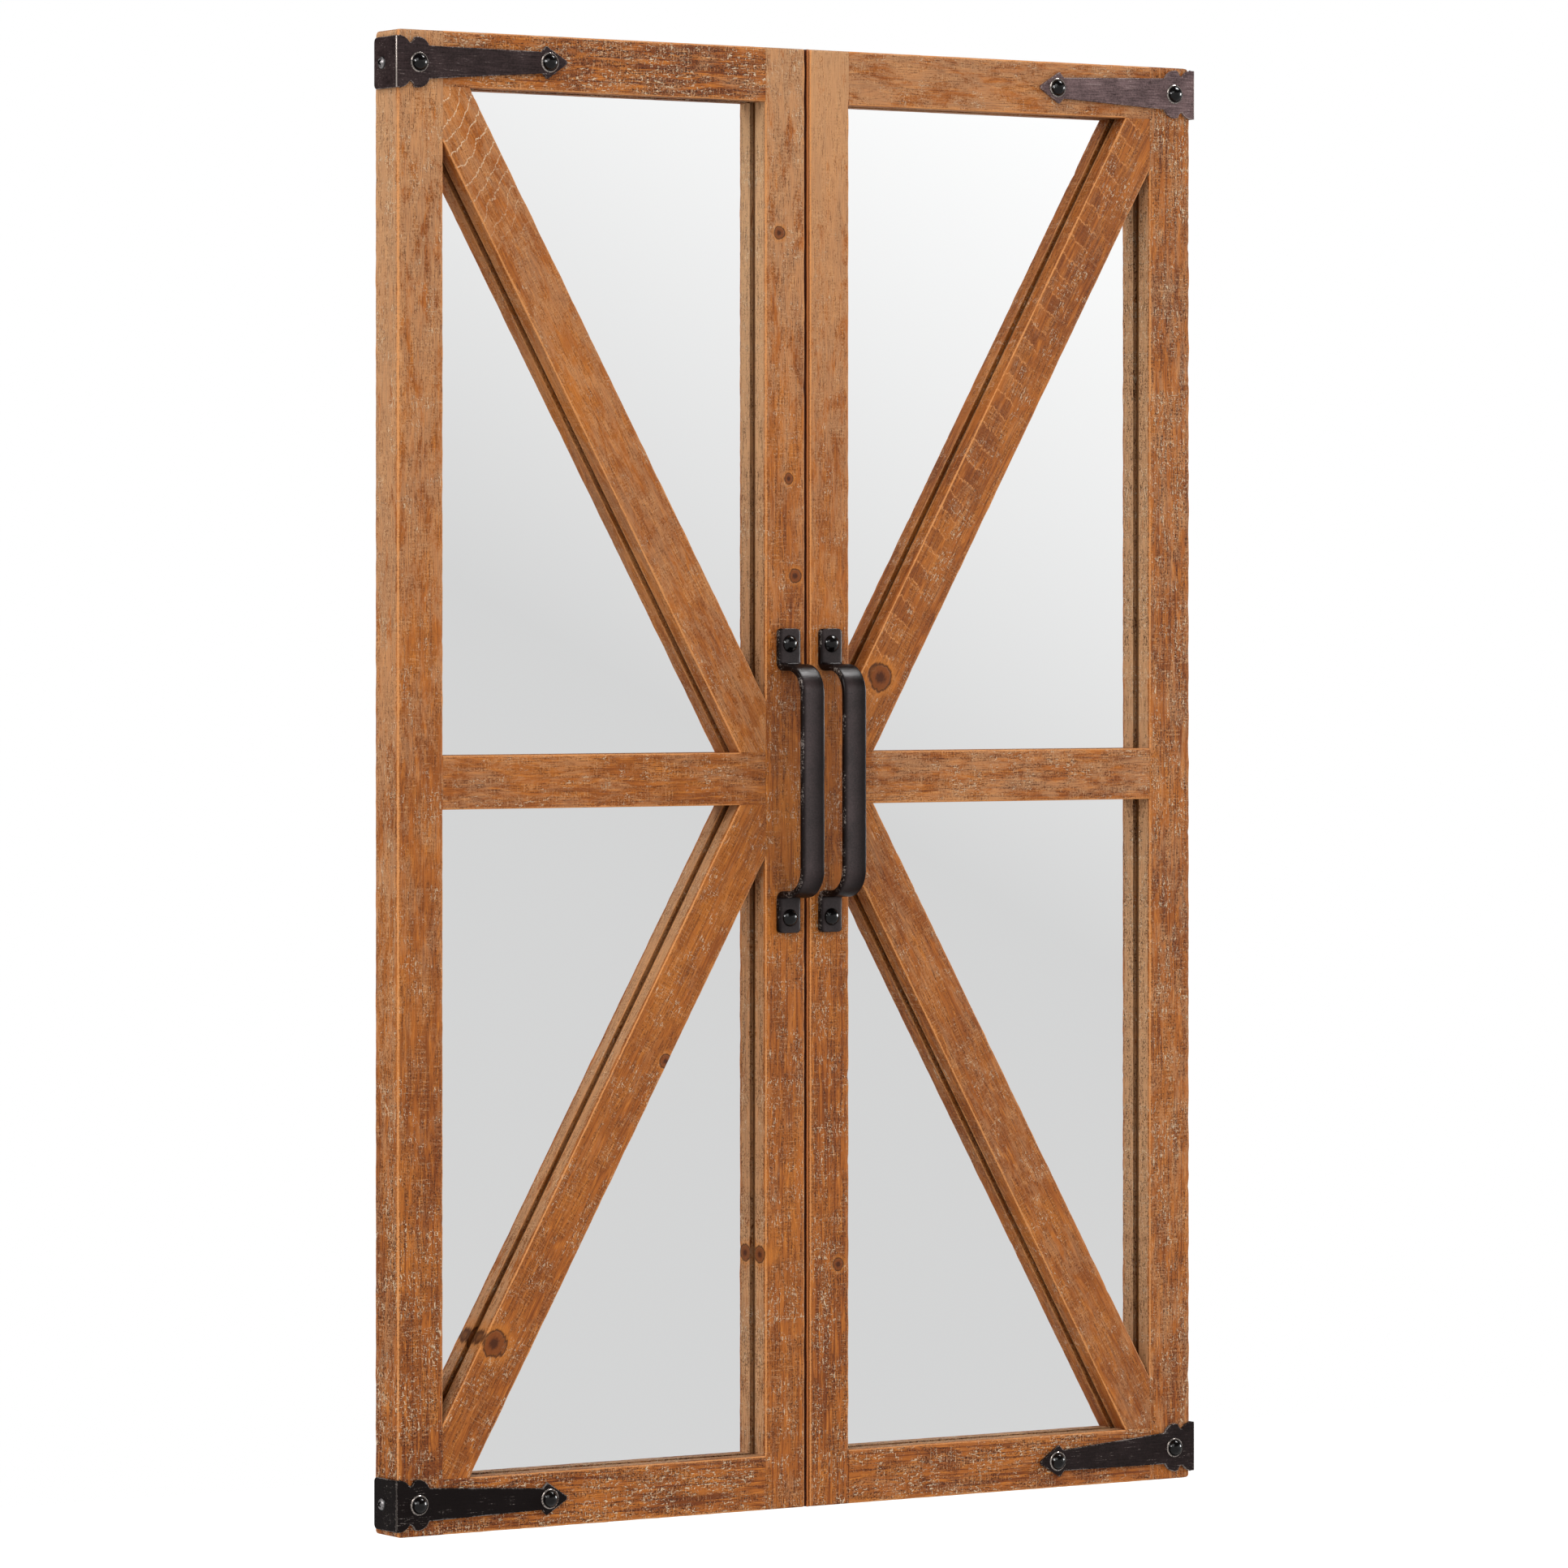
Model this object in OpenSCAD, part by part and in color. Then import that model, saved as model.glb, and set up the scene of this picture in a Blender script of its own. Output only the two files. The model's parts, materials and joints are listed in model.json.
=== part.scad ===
// Wall mirror made as a closed pair of braced shutters, all sizes in millimetres.
// X runs to the right, Y runs back to the wall and Z runs up.
// The origin lies on the wall, midway between the two hanging rings and level with their hooks.

/* [Frame] */
// Width of the whole frame
overall_w = 559; // [460:1:760]
// Height of the whole frame
overall_h = 864; // [680:1:1100]
// Depth of the frame, front to back
frame_d = 26; // [24:0.5:36]
// Width of an outer stile
stile_w = 30; // [28:0.5:40]
// Width of a centre stile
centre_stile_w = 27.5; // [24:0.5:36]
// Height of a top or bottom rail
rail_w = 32; // [29:0.5:42]
// Height of a middle rail
middle_rail_w = 31; // [22:0.5:40]
// Width of a diagonal brace
brace_w = 31; // [20:0.5:38]
// Thickness of the wood in front of the glass
face_t = 11.5; // [9:0.5:15]
// Radius of the eased edges along the openings, the groove and the frame's back
arris_r = 1; // [0.5:0.1:2]
// Radius of the frame's outer edges at its front
outer_arris_r = 1.5; // [1:0.1:3]
// Radius of the frame's four corners, seen from the front
corner_r = 2.5; // [1:0.5:6]

/* [Groove between the doors] */
// Width of the groove
seam_gap = 3.8; // [2.5:0.1:6]
// Depth of the groove's floor behind the frame's front
seam_depth = 3.2; // [1.5:0.1:5]
// Width of the rib that stands in the groove
seam_rib_w = 1; // [0.6:0.1:1.6]
// Gap between the rib and the right centre stile
seam_rib_gap = 0.5; // [0.3:0.1:0.8]
// Distance of the rib's top behind the frame's front
seam_rib_set = 0.4; // [0.2:0.1:1]

/* [Glass and backing] */
// Width of the rabbet that holds the edge of a pane
rabbet_w = 8; // [6:0.5:10]
// Width of the ledge that the backing board is screwed to
ledge_w = 7; // [6:0.5:9]
// Thickness of the bedding tape between wood and glass
tape_t = 3; // [1.5:0.5:4]
// Distance of the tape from the visible edge of the wood
tape_setback = 2.5; // [1.5:0.5:4]
// Thickness of a mirror pane
pane_t = 3; // [2:0.5:5]
// Thickness of the backing board
backing_t = 3; // [2:0.5:4]
// Clearance round the panes and round the backing board
fit_gap = 0.5; // [0.3:0.1:1]
// Backing screws up each stile
screws_per_stile = 4; // [3:1:6]
// Backing screws along each rail
screws_per_rail = 2; // [1:1:4]

/* [Dowels] */
// Diameter of a dowel
dowel_d = 6; // [5:0.5:8]
// Length of a dowel
dowel_l = 24; // [18:1:26]
// Distance of a rail's rear dowel in front of the frame's back
dowel_back = 10; // [7:0.5:14]

/* [Strap hinges] */
// Height of a hinge's base, where it wraps the corner
hinge_base_h = 29.8; // [26:0.2:34]
// Thickness of the hinge plate
hinge_t = 2.2; // [1.5:0.1:3]
// Inside radius of the bend at the corner
hinge_bend_r = 0.8; // [0.5:0.1:1.5]
// Outside radius of the bend, which is pressed nearly square
hinge_bend_outer_r = 0.7; // [0.3:0.1:3]
// Distance of the side leaf's end in front of the frame's back
hinge_leaf_stop = 2.4; // [1:0.2:6]
// Corner radius of the side leaf
hinge_leaf_r = 3; // [1:0.5:5]
// Radius of the rounded shoulders at the bend
hinge_shoulder_r = 8; // [6:0.5:9]
// Radius of each lobe of the scalloped base
hinge_lobe_r = 7.9; // [6:0.1:9]
// Distance of the lobes' centres from the frame's side
hinge_lobe_x = 12.5; // [11:0.1:15]
// Height over the two lobes
hinge_lobe_h = 29.2; // [24:0.2:32]
// Distance of the notch between shoulder and lobe from the frame's side
hinge_notch_x = 6.4; // [5.5:0.1:8]
// Radius of the hollow that leads from the notch up to the tip of the lobe
hinge_hollow_r = 3.7; // [2:0.1:4.5]
// Width of the strap where it leaves the lobes
strap_root_w = 19; // [14:0.2:20]
// Width of the strap's neck before its tip
strap_neck_w = 12.6; // [9:0.2:15]
// Distance of the neck from the frame's side
strap_neck_x = 95.5; // [80:0.5:110]
// Width across the points of the arrow tip
strap_tip_w = 19.2; // [14:0.2:24]
// Length of the flare from the neck to the points
strap_flare_l = 3; // [2:0.5:6]
// Length of the arrow from its points to its end
strap_tip_l = 13.5; // [9:0.5:20]
// Width of the arrow's blunt end
strap_end_w = 2; // [1:0.2:4]
// Distance from the frame's end to each hinge's middle: left bottom, left top, right bottom, right top
hinge_insets = [18.4, 18.9, 19.3, 16.4]; // [16:0.1:24]
// Lean of each strap towards the frame's end, in degrees, in the same order
strap_leans = [1.2, 2.2, 2.0, 0.4]; // [0:0.1:3]

/* [Nails and screws of the hinges] */
// Distance of the first dome nail from the frame's side
nail_1_x = 13; // [11:0.5:15]
// Distance of the second dome nail from the frame's side
nail_2_x = 100.2; // [90:0.2:110]
// Diameter of a dome nail's flange
nail_flange_d = 11.7; // [9:0.1:14]
// Thickness of a dome nail's flange
nail_flange_t = 0.8; // [0.5:0.1:1.2]
// Diameter of a dome nail's dome
nail_dome_d = 9.8; // [7:0.1:11]
// Height of a dome nail's dome over its flange
nail_dome_h = 3.9; // [2.5:0.1:4.5]
// Diameter of a dome nail's shank
nail_shank_d = 2.8; // [2:0.1:3.5]
// Depth of a dome nail in the wood
nail_depth = 8; // [6:0.5:10]
// Distance of the side screw behind the frame's front
side_screw_y = 14.3; // [11:0.1:16]
// Diameter of the side screw's pan head
side_screw_head_d = 7.4; // [6:0.1:9]
// Height of the side screw's pan head
side_screw_head_h = 2.2; // [1.6:0.1:3]
// Diameter of the side screw's shank
side_screw_d = 3.2; // [2.5:0.1:4]
// Depth of the side screw in the wood
side_screw_depth = 11; // [8:0.5:13]

/* [Pull handles] */
// Height of a handle over its two plates
handle_h = 180; // [140:1:240]
// Width of the handle's flat bar
handle_w = 15.5; // [12:0.5:20]
// Thickness of the handle's flat bar
handle_t = 4; // [3:0.5:5]
// Distance that a handle stands out from the wood
handle_reach = 30; // [26:0.5:45]
// Height of one of its end plates
handle_plate_h = 21; // [18:0.5:28]
// Outside radius of the bends at the grip
handle_bend_r = 17.5; // [10:0.5:20]
// Inside radius of the bends at the plates
handle_foot_r = 1.5; // [1:0.5:3]
// Corner radius of the end plates
handle_corner_r = 2.5; // [1:0.5:4]
// Distance of a handle's middle from the groove's middle
handle_x = 14.7; // [12:0.1:18]
// Distance of the handles' middle below the frame's middle
handle_drop = 1.4; // [0:0.1:20]
// Distance of a screw from the handle's end
handle_screw_in = 9; // [7:0.5:12]
// Diameter of a handle screw's dome
handle_dome_d = 10.4; // [8:0.1:12]
// Height of a handle screw's dome
handle_dome_h = 3.7; // [2.5:0.1:5]
// Diameter of a handle screw's shank
handle_screw_d = 4; // [3:0.1:5]
// Depth of a handle screw in the wood
handle_screw_depth = 10; // [7:0.5:12]

/* [Hangers] */
// Distance of the wall hooks below the top of the frame
hang_drop = 150; // [110:1:240]
// Width of the hanger's strap
hanger_w = 8; // [8:0.5:12]
// Length of the hanger's strap below its eye
hanger_l = 34; // [30:0.5:44]
// Thickness of the hanger's strap
hanger_t = 1.5; // [1:0.1:2]
// Distance of the first hanger screw below the eye
hanger_screw_1 = 15; // [14:0.5:18]
// Distance between the two hanger screws
hanger_screw_gap = 13; // [9:0.5:16]
// Diameter of the ring's wire
ring_wire_d = 2.5; // [2:0.1:3]
// Gap between the strap's eye and each lower corner of the ring
ring_side_gap = 0.3; // [0.2:0.1:2]
// Length of the ring's straight legs, from its bar to its bow
ring_leg = 6.5; // [3:0.5:8]
// Radius of the ring's two lower corners
ring_corner_r = 2.2; // [1.5:0.1:2.8]
// Running clearance between the ring's bar and the eye, on the radius
ring_play = 0.08; // [0.05:0.01:0.1]
// Distance of the straps and the wall bumpers from the edge of the backing's recess
hardware_gap = 0.5; // [0.3:0.1:2]
// Height of the wall bumpers, which sets the frame off the wall
bumper_h = 6; // [5.8:0.2:10]
// Diameter of a wall bumper
bumper_d = 8; // [8:0.5:12]

/* [Small screws] */
// Diameter of a small screw's head
small_head_d = 5.2; // [4:0.1:6]
// Height of a small screw's head
small_head_h = 1.8; // [1.2:0.1:2.2]
// Diameter of a small screw's shank
small_screw_d = 2.8; // [2:0.1:3.2]
// Depth of a small screw in the wood
small_screw_depth = 7; // [5:0.5:8]
// Clearance of a shank in its hole, on the radius
shank_gap = 0.05; // [0.02:0.01:0.1]

/* [Hidden] */

$fn = 40;
LEFT = -1;
RIGHT = 1;
BOTTOM = -1;
TOP = 1;
SIDES = [LEFT, RIGHT];
ENDS = [BOTTOM, TOP];
past = 1;  // how far a cut runs past what it cuts

stained_pine = [0.66, 0.43, 0.27];
dark_stain = [0.36, 0.22, 0.13];
raw_beech = [0.80, 0.66, 0.46];
hardboard = [0.42, 0.30, 0.20];
mirror_silver = [0.86, 0.89, 0.91];
foam_black = [0.12, 0.11, 0.10];
black_iron = [0.16, 0.14, 0.15];
zinc = [0.72, 0.73, 0.75];
grey_rubber = [0.30, 0.30, 0.31];

// Door coordinates: x runs inwards from the frame's side, y back from its front, z up from its bottom.
half_w = overall_w / 2;
open_x0 = stile_w;
seam_x = half_w - seam_gap / 2;
open_x1 = seam_x - centre_stile_w;
open_w = open_x1 - open_x0;
middle_z0 = (overall_h - middle_rail_w) / 2;
open_h = middle_z0 - rail_w;
brace_angle = atan2(open_h, open_w);
brace_l = norm([open_w, open_h]);

// The stretches of a lower opening's edges that no brace's end covers, as [from, to].
brace_foot_x = brace_w / 2 / sin(brace_angle);
brace_foot_z = brace_w / 2 / cos(brace_angle);
free_stile_z = [rail_w + brace_foot_z, middle_z0];
free_centre_z = [rail_w, middle_z0 - brace_foot_z];
free_rail_x = [open_x0 + brace_foot_x, open_x1];
free_middle_x = [open_x0, open_x1 - brace_foot_x];

glass_y = face_t + tape_t;
backing_y = glass_y + pane_t;
pocket_x0 = open_x0 - rabbet_w;
pocket_x1 = open_x1 + rabbet_w;
pocket_z0 = rail_w - rabbet_w;
recess_x0 = pocket_x0 - ledge_w;
recess_z0 = pocket_z0 - ledge_w;
tape_w = rabbet_w - tape_setback - fit_gap;
seam_rib_x = seam_gap - seam_rib_gap - seam_rib_w;

// Each screw of one door's backing board, as [x, z].
backing_screws_xz = [
    for (i = [0 : screws_per_stile - 1])
        for (x = [recess_x0 + ledge_w / 2, (pocket_x1 + seam_x) / 2])
            [x, overall_h * (i + 0.5) / screws_per_stile],
    for (i = [0 : screws_per_rail - 1])
        for (z = [recess_z0 + ledge_w / 2, overall_h - recess_z0 - ledge_w / 2])
            [open_x0 + open_w * (i + 0.5) / screws_per_rail, z]
];

// Each dowel at a joint between rail and stile, as [y, z].
middle_dowel_yz = [face_t / 2, overall_h / 2];
rail_dowels_yz = [
    for (y_from_end = [[frame_d - dowel_back, recess_z0 / 2], [face_t / 2, pocket_z0]])
        for (z = [y_from_end[1], overall_h - y_from_end[1]])
            [y_from_end[0], z]
];

eye_r = ring_wire_d / 2 + ring_play;
eye_outer_r = eye_r + hanger_t;
eye_y = frame_d + eye_outer_r;
ring_bow_r = hanger_w / 2 + ring_side_gap + ring_corner_r;
ring_hook_z = ring_leg + ring_bow_r - ring_wire_d / 2;
hang_z = overall_h - hang_drop;
eye_z = hang_z - ring_hook_z;
hanger_x = recess_x0 - hardware_gap - hanger_w / 2;
hanger_screws_z = [for (i = [0, 1]) eye_z - hanger_screw_1 - i * hanger_screw_gap];
handle_z = overall_h / 2 - handle_drop;
handle_screws_z = [for (end = ENDS) handle_z + end * (handle_h / 2 - handle_screw_in)];

function hinge_index(side, end) = (side == LEFT ? 0 : 2) + (end == BOTTOM ? 0 : 1);
function hinge_inset(side, end) = hinge_insets[hinge_index(side, end)];
function strap_lean(side, end) = strap_leans[hinge_index(side, end)];

module on_wall()
    translate([0, -frame_d - bumper_h, -hang_z]) children();

// Puts a piece in door coordinates on the left or the right door.
module on_door(side)
    translate([side * half_w, 0, 0]) mirror([side == RIGHT ? 1 : 0, 0, 0]) children();

// Flips a piece made at the bottom of a door to its top.
module at_end(end)
    translate([0, 0, end == TOP ? overall_h : 0]) mirror([0, 0, end == TOP ? 1 : 0]) children();

module corner_waste(r)
    difference() {
        translate([-past, -past]) square(r + past);
        translate([r, r]) circle(r);
    }

// What easing takes off the edge at a, of a bar that lies beyond a or, with flip = 1, before it.
module edge_waste(a, flip)
    translate([a, 0]) mirror([flip, 0]) corner_waste(arris_r);

// Section of a full-depth bar whose near edges are the outside of the frame.
module frame_section(w)
    difference() {
        square([w, frame_d]);
        corner_waste(outer_arris_r);
        translate([0, frame_d]) mirror([0, 1]) corner_waste(arris_r);
    }

// Runs a section along x, with the section's own x pointing up.
module run_along_x(x0, x1)
    translate([x1, 0, 0]) rotate([0, -90, 0]) linear_extrude(x1 - x0) children();

// Runs a section up from z0 to z1.
module run_up(z0, z1)
    translate([0, 0, z0]) linear_extrude(z1 - z0) children();

// Runs an outline drawn in x and z from y0 back to y1.
module run_back(y0, y1)
    translate([0, y1, 0]) rotate([90, 0, 0]) linear_extrude(y1 - y0) children();

module hole_back(x, z, y0, y1, d)
    translate([x, y0, z]) rotate([-90, 0, 0]) cylinder(h = y1 - y0, d = d);

module glass_pocket()
    translate([pocket_x0, face_t, pocket_z0])
        cube([pocket_x1 - pocket_x0, frame_d, overall_h - 2 * pocket_z0]);

module backing_recess()
    translate([recess_x0, backing_y, recess_z0])
        cube([overall_w, frame_d, overall_h - 2 * recess_z0]);

module backing_screw_bores()
    for (xz = backing_screws_xz)
        hole_back(xz[0], xz[1], backing_y - small_screw_depth, frame_d,
                  small_screw_d + 2 * shank_gap);

module dowels_at(x, play)
    for (yz = concat(rail_dowels_yz, [middle_dowel_yz]))
        translate([x - dowel_l / 2 - play, yz[0], yz[1]])
            rotate([0, 90, 0]) cylinder(h = dowel_l + 2 * play, d = dowel_d + 2 * play);

// Everything that goes into the wood at a door's two hinges.
module hinge_bores(side)
    for (end = ENDS)
        at_end(end) {
            for (xz = nail_places(side, end))
                hole_back(xz[0], xz[1], -past, nail_depth + shank_gap, nail_shank_d + 2 * shank_gap);
            translate([-past, side_screw_y, hinge_inset(side, end)])
                rotate([0, 90, 0])
                    cylinder(h = side_screw_depth + shank_gap + past, d = side_screw_d + 2 * shank_gap);
        }

// The two nails of a hinge, as [x, z] from the corner of the frame.
function nail_places(side, end) =
    let (z = hinge_inset(side, end), lean = strap_lean(side, end), reach = nail_2_x - nail_1_x)
        [[nail_1_x, z], [nail_1_x + reach * cos(lean), z - reach * sin(lean)]];

module outer_stile(side)
    on_wall() on_door(side) color(stained_pine)
        difference() {
            linear_extrude(overall_h) frame_section(stile_w);
            for (end = ENDS)
                at_end(end) {
                    run_back(-past, frame_d + past) corner_waste(corner_r);
                    run_up(free_stile_z[0], free_stile_z[1]) edge_waste(open_x0, 1);
                }
            glass_pocket();
            backing_recess();
            backing_screw_bores();
            dowels_at(open_x0, shank_gap);
            hinge_bores(side);
            for (z = hanger_screws_z)
                hole_back(hanger_x, z, frame_d - small_screw_depth, frame_d + past,
                          small_screw_d + 2 * shank_gap);
        }

module centre_stile(side)
    on_wall() on_door(side) color(stained_pine)
        difference() {
            translate([open_x1, 0, 0]) cube([centre_stile_w, frame_d, overall_h]);
            run_up(-past, overall_h + past) edge_waste(seam_x, 1);
            for (end = ENDS)
                at_end(end) run_up(free_centre_z[0], free_centre_z[1]) edge_waste(open_x1, 0);
            glass_pocket();
            backing_recess();
            backing_screw_bores();
            dowels_at(open_x1, shank_gap);
            for (z = handle_screws_z)
                hole_back(half_w - handle_x, z, -past, handle_screw_depth + shank_gap,
                          handle_screw_d + 2 * shank_gap);
        }

module end_rail(side, end)
    on_wall() on_door(side) color(stained_pine)
        difference() {
            at_end(end)
                difference() {
                    run_along_x(open_x0, open_x1) frame_section(rail_w);
                    run_along_x(free_rail_x[0], free_rail_x[1] + past) edge_waste(rail_w, 1);
                }
            glass_pocket();
            backing_recess();
            backing_screw_bores();
            for (x = [open_x0, open_x1]) dowels_at(x, shank_gap);
            hinge_bores(side);
        }

module middle_rail(side)
    on_wall() on_door(side) color(stained_pine)
        difference() {
            translate([open_x0, 0, middle_z0]) cube([open_w, face_t, middle_rail_w]);
            for (end = ENDS)
                at_end(end)
                    run_along_x(free_middle_x[0] - past, free_middle_x[1]) edge_waste(middle_z0, 0);
            for (x = [open_x0, open_x1]) dowels_at(x, shank_gap);
        }

// The straight way from an opening's outer corner to its corner at the middle rail.
module along_brace()
    translate([open_x0, 0, rail_w]) rotate([0, -brace_angle, 0]) children();

module brace(side, end)
    on_wall() on_door(side) at_end(end) color(stained_pine)
        intersection() {
            translate([open_x0, 0, rail_w]) cube([open_w, face_t, open_h]);
            along_brace()
                run_along_x(-brace_w, brace_l + brace_w)
                    difference() {
                        translate([-brace_w / 2, 0]) square([brace_w, face_t]);
                        edge_waste(-brace_w / 2, 0);
                        edge_waste(brace_w / 2, 1);
                    }
        }

// Closes the groove: a strip between the centre stiles with a thin rib towards the right one.
module seam_bead()
    on_wall() color(dark_stain)
        difference() {
            linear_extrude(overall_h)
                translate([-seam_gap / 2, 0])
                    polygon([
                        [0, seam_depth], [seam_rib_x, seam_depth],
                        [seam_rib_x, seam_rib_set], [seam_rib_x + seam_rib_w, seam_rib_set],
                        [seam_rib_x + seam_rib_w, seam_depth], [seam_gap, seam_depth],
                        [seam_gap, frame_d], [0, frame_d]
                    ]);
            on_door(LEFT) backing_recess();
        }

module frame_dowels()
    on_wall() color(raw_beech)
        for (side = SIDES, x = [open_x0, open_x1]) on_door(side) dowels_at(x, 0);

module mirror_pane(side)
    on_wall() on_door(side) color(mirror_silver)
        translate([pocket_x0 + fit_gap, glass_y, pocket_z0 + fit_gap])
            cube([pocket_x1 - pocket_x0 - 2 * fit_gap, pane_t, overall_h - 2 * (pocket_z0 + fit_gap)]);

// Strips between the wood and the glass, set back so that only a dark gap shows.
module bedding_tape(side)
    on_wall() on_door(side) color(foam_black)
        translate([0, face_t, 0]) {
            edge_strips();
            translate([open_x0, 0, middle_z0 + tape_setback])
                cube([open_w, tape_t, middle_rail_w - 2 * tape_setback]);
            for (end = ENDS) at_end(end) brace_strip();
        }

module edge_strips() {
    tape_x0 = pocket_x0 + fit_gap;
    tape_z0 = pocket_z0 + fit_gap;
    for (x = [tape_x0, pocket_x1 - fit_gap - tape_w])
        translate([x, 0, tape_z0]) cube([tape_w, tape_t, overall_h - 2 * tape_z0]);
    for (end = ENDS)
        at_end(end)
            translate([tape_x0 + tape_w, 0, tape_z0])
                cube([pocket_x1 - pocket_x0 - 2 * (fit_gap + tape_w), tape_t, tape_w]);
}

module brace_strip()
    intersection() {
        translate([open_x0, 0, rail_w]) cube([open_w, tape_t, open_h]);
        along_brace()
            translate([-brace_w, 0, tape_setback - brace_w / 2])
                cube([brace_l + 2 * brace_w, tape_t, brace_w - 2 * tape_setback]);
    }

module backing_board()
    on_wall() color(hardboard)
        difference() {
            translate([recess_x0 + fit_gap - half_w, backing_y, recess_z0 + fit_gap])
                cube([overall_w - 2 * (recess_x0 + fit_gap), backing_t,
                      overall_h - 2 * (recess_z0 + fit_gap)]);
            for (side = SIDES) on_door(side) backing_screw_bores();
        }

// A small pan-head screw that stands on y = 0 and goes in along -y.
module small_screw(through) {
    depth = through + small_screw_depth;
    rotate([-90, 0, 0])
        rotate_extrude() {
            translate([0, -depth]) square([small_screw_d / 2, depth]);
            low_dome(small_head_d, small_head_h);
        }
}

module backing_screws()
    on_wall() color(zinc)
        for (side = SIDES)
            on_door(side)
                for (xz = backing_screws_xz)
                    translate([xz[0], backing_y + backing_t, xz[1]]) small_screw(backing_t);

// Half of a dome's section, standing on y = 0: a circle's cap of the given width and height.
module low_dome(d, h) {
    cap_r = (d * d / 4 + h * h) / (2 * h);
    intersection() {
        translate([0, h - cap_r]) circle(cap_r);
        square([d / 2, h]);
    }
}

// Front outline of a hinge, drawn from the corner of the frame: shoulders, lobes, strap and tip.
module hinge_outline(lean) {
    intersection() {
        translate([hinge_bend_r, -hinge_base_h / 2]) square([hinge_lobe_x, hinge_base_h]);
        union() {
            shoulder_z = hinge_base_h / 2 - hinge_shoulder_r;
            for (z = [-shoulder_z, shoulder_z]) translate([0, z]) circle(hinge_shoulder_r);
            translate([0, -shoulder_z]) square([hinge_shoulder_r, 2 * shoulder_z]);
        }
    }
    for (half = [0, 1])
        mirror([0, half])
            difference() {
                translate([hinge_lobe_x, hinge_lobe_h / 2 - hinge_lobe_r]) circle(hinge_lobe_r);
                translate([hinge_notch_x, hinge_lobe_h / 2]) circle(hinge_hollow_r);
            }
    translate([nail_1_x, 0]) rotate(-lean) translate([-nail_1_x, 0]) strap_outline();
}

module strap_outline() {
    root_x = hinge_lobe_x + hinge_lobe_r * cos(30);
    point_x = strap_neck_x + strap_flare_l;
    polygon([
        [hinge_lobe_x, -strap_root_w / 2], [root_x, -strap_root_w / 2],
        [strap_neck_x, -strap_neck_w / 2], [point_x, -strap_tip_w / 2],
        [point_x + strap_tip_l, -strap_end_w / 2], [point_x + strap_tip_l, strap_end_w / 2],
        [point_x, strap_tip_w / 2], [strap_neck_x, strap_neck_w / 2],
        [root_x, strap_root_w / 2], [hinge_lobe_x, strap_root_w / 2]
    ]);
}

module bend_section()
    difference() {
        translate([-hinge_t, -hinge_t])
            difference() {
                square(hinge_t + hinge_bend_r);
                corner_waste(hinge_bend_outer_r);
            }
        translate([hinge_bend_r, hinge_bend_r]) circle(hinge_bend_r);
    }

// The bend round the corner of the frame and the leaf on its side.
module hinge_leaf() {
    leaf_l = frame_d - hinge_leaf_stop - hinge_bend_r;
    run_up(-hinge_base_h / 2, hinge_base_h / 2) bend_section();
    translate([0, hinge_bend_r, 0])
        rotate([0, -90, 0])
            linear_extrude(hinge_t)
                difference() {
                    translate([-hinge_base_h / 2, 0]) square([hinge_base_h, leaf_l]);
                    for (z = [-1, 1])
                        translate([z * hinge_base_h / 2, leaf_l])
                            rotate(z > 0 ? 180 : -90) corner_waste(hinge_leaf_r);
                }
}

module strap_hinge(side, end)
    on_wall() on_door(side) at_end(end) color(black_iron)
        difference() {
            translate([0, 0, hinge_inset(side, end)]) {
                run_back(-hinge_t, 0) hinge_outline(strap_lean(side, end));
                hinge_leaf();
            }
            for (xz = nail_places(side, end))
                hole_back(xz[0], xz[1], -hinge_t - past, past, nail_shank_d + 2 * shank_gap);
            translate([-hinge_t - past, side_screw_y, hinge_inset(side, end)])
                rotate([0, 90, 0]) cylinder(h = hinge_t + 2 * past, d = side_screw_d + 2 * shank_gap);
        }

// A dome nail whose flange stands on z = 0.
module dome_nail()
    rotate_extrude() {
        translate([0, -hinge_t - nail_depth]) square([nail_shank_d / 2, hinge_t + nail_depth]);
        square([nail_flange_d / 2, nail_flange_t]);
        translate([0, nail_flange_t]) low_dome(nail_dome_d, nail_dome_h);
    }

module hinge_dome_nails()
    on_wall() color(black_iron)
        for (side = SIDES, end = ENDS)
            on_door(side) at_end(end)
                for (xz = nail_places(side, end))
                    translate([xz[0], -hinge_t, xz[1]]) rotate([90, 0, 0]) dome_nail();

// A pan-head screw with a cross recess, whose head stands on z = 0.
module side_screw()
    difference() {
        rotate_extrude() {
            translate([0, -hinge_t - side_screw_depth])
                square([side_screw_d / 2, hinge_t + side_screw_depth]);
            low_dome(side_screw_head_d, side_screw_head_h);
        }
        for (turn = [45, 135])
            rotate(turn)
                translate([-side_screw_head_d / 4, -side_screw_head_d / 16, side_screw_head_h / 3])
                    cube([side_screw_head_d / 2, side_screw_head_d / 8, side_screw_head_h]);
    }

module hinge_side_screws()
    on_wall() color(black_iron)
        for (side = SIDES, end = ENDS)
            on_door(side) at_end(end)
                translate([-hinge_t, side_screw_y, hinge_inset(side, end)])
                    rotate([0, -90, 0]) side_screw();

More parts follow.
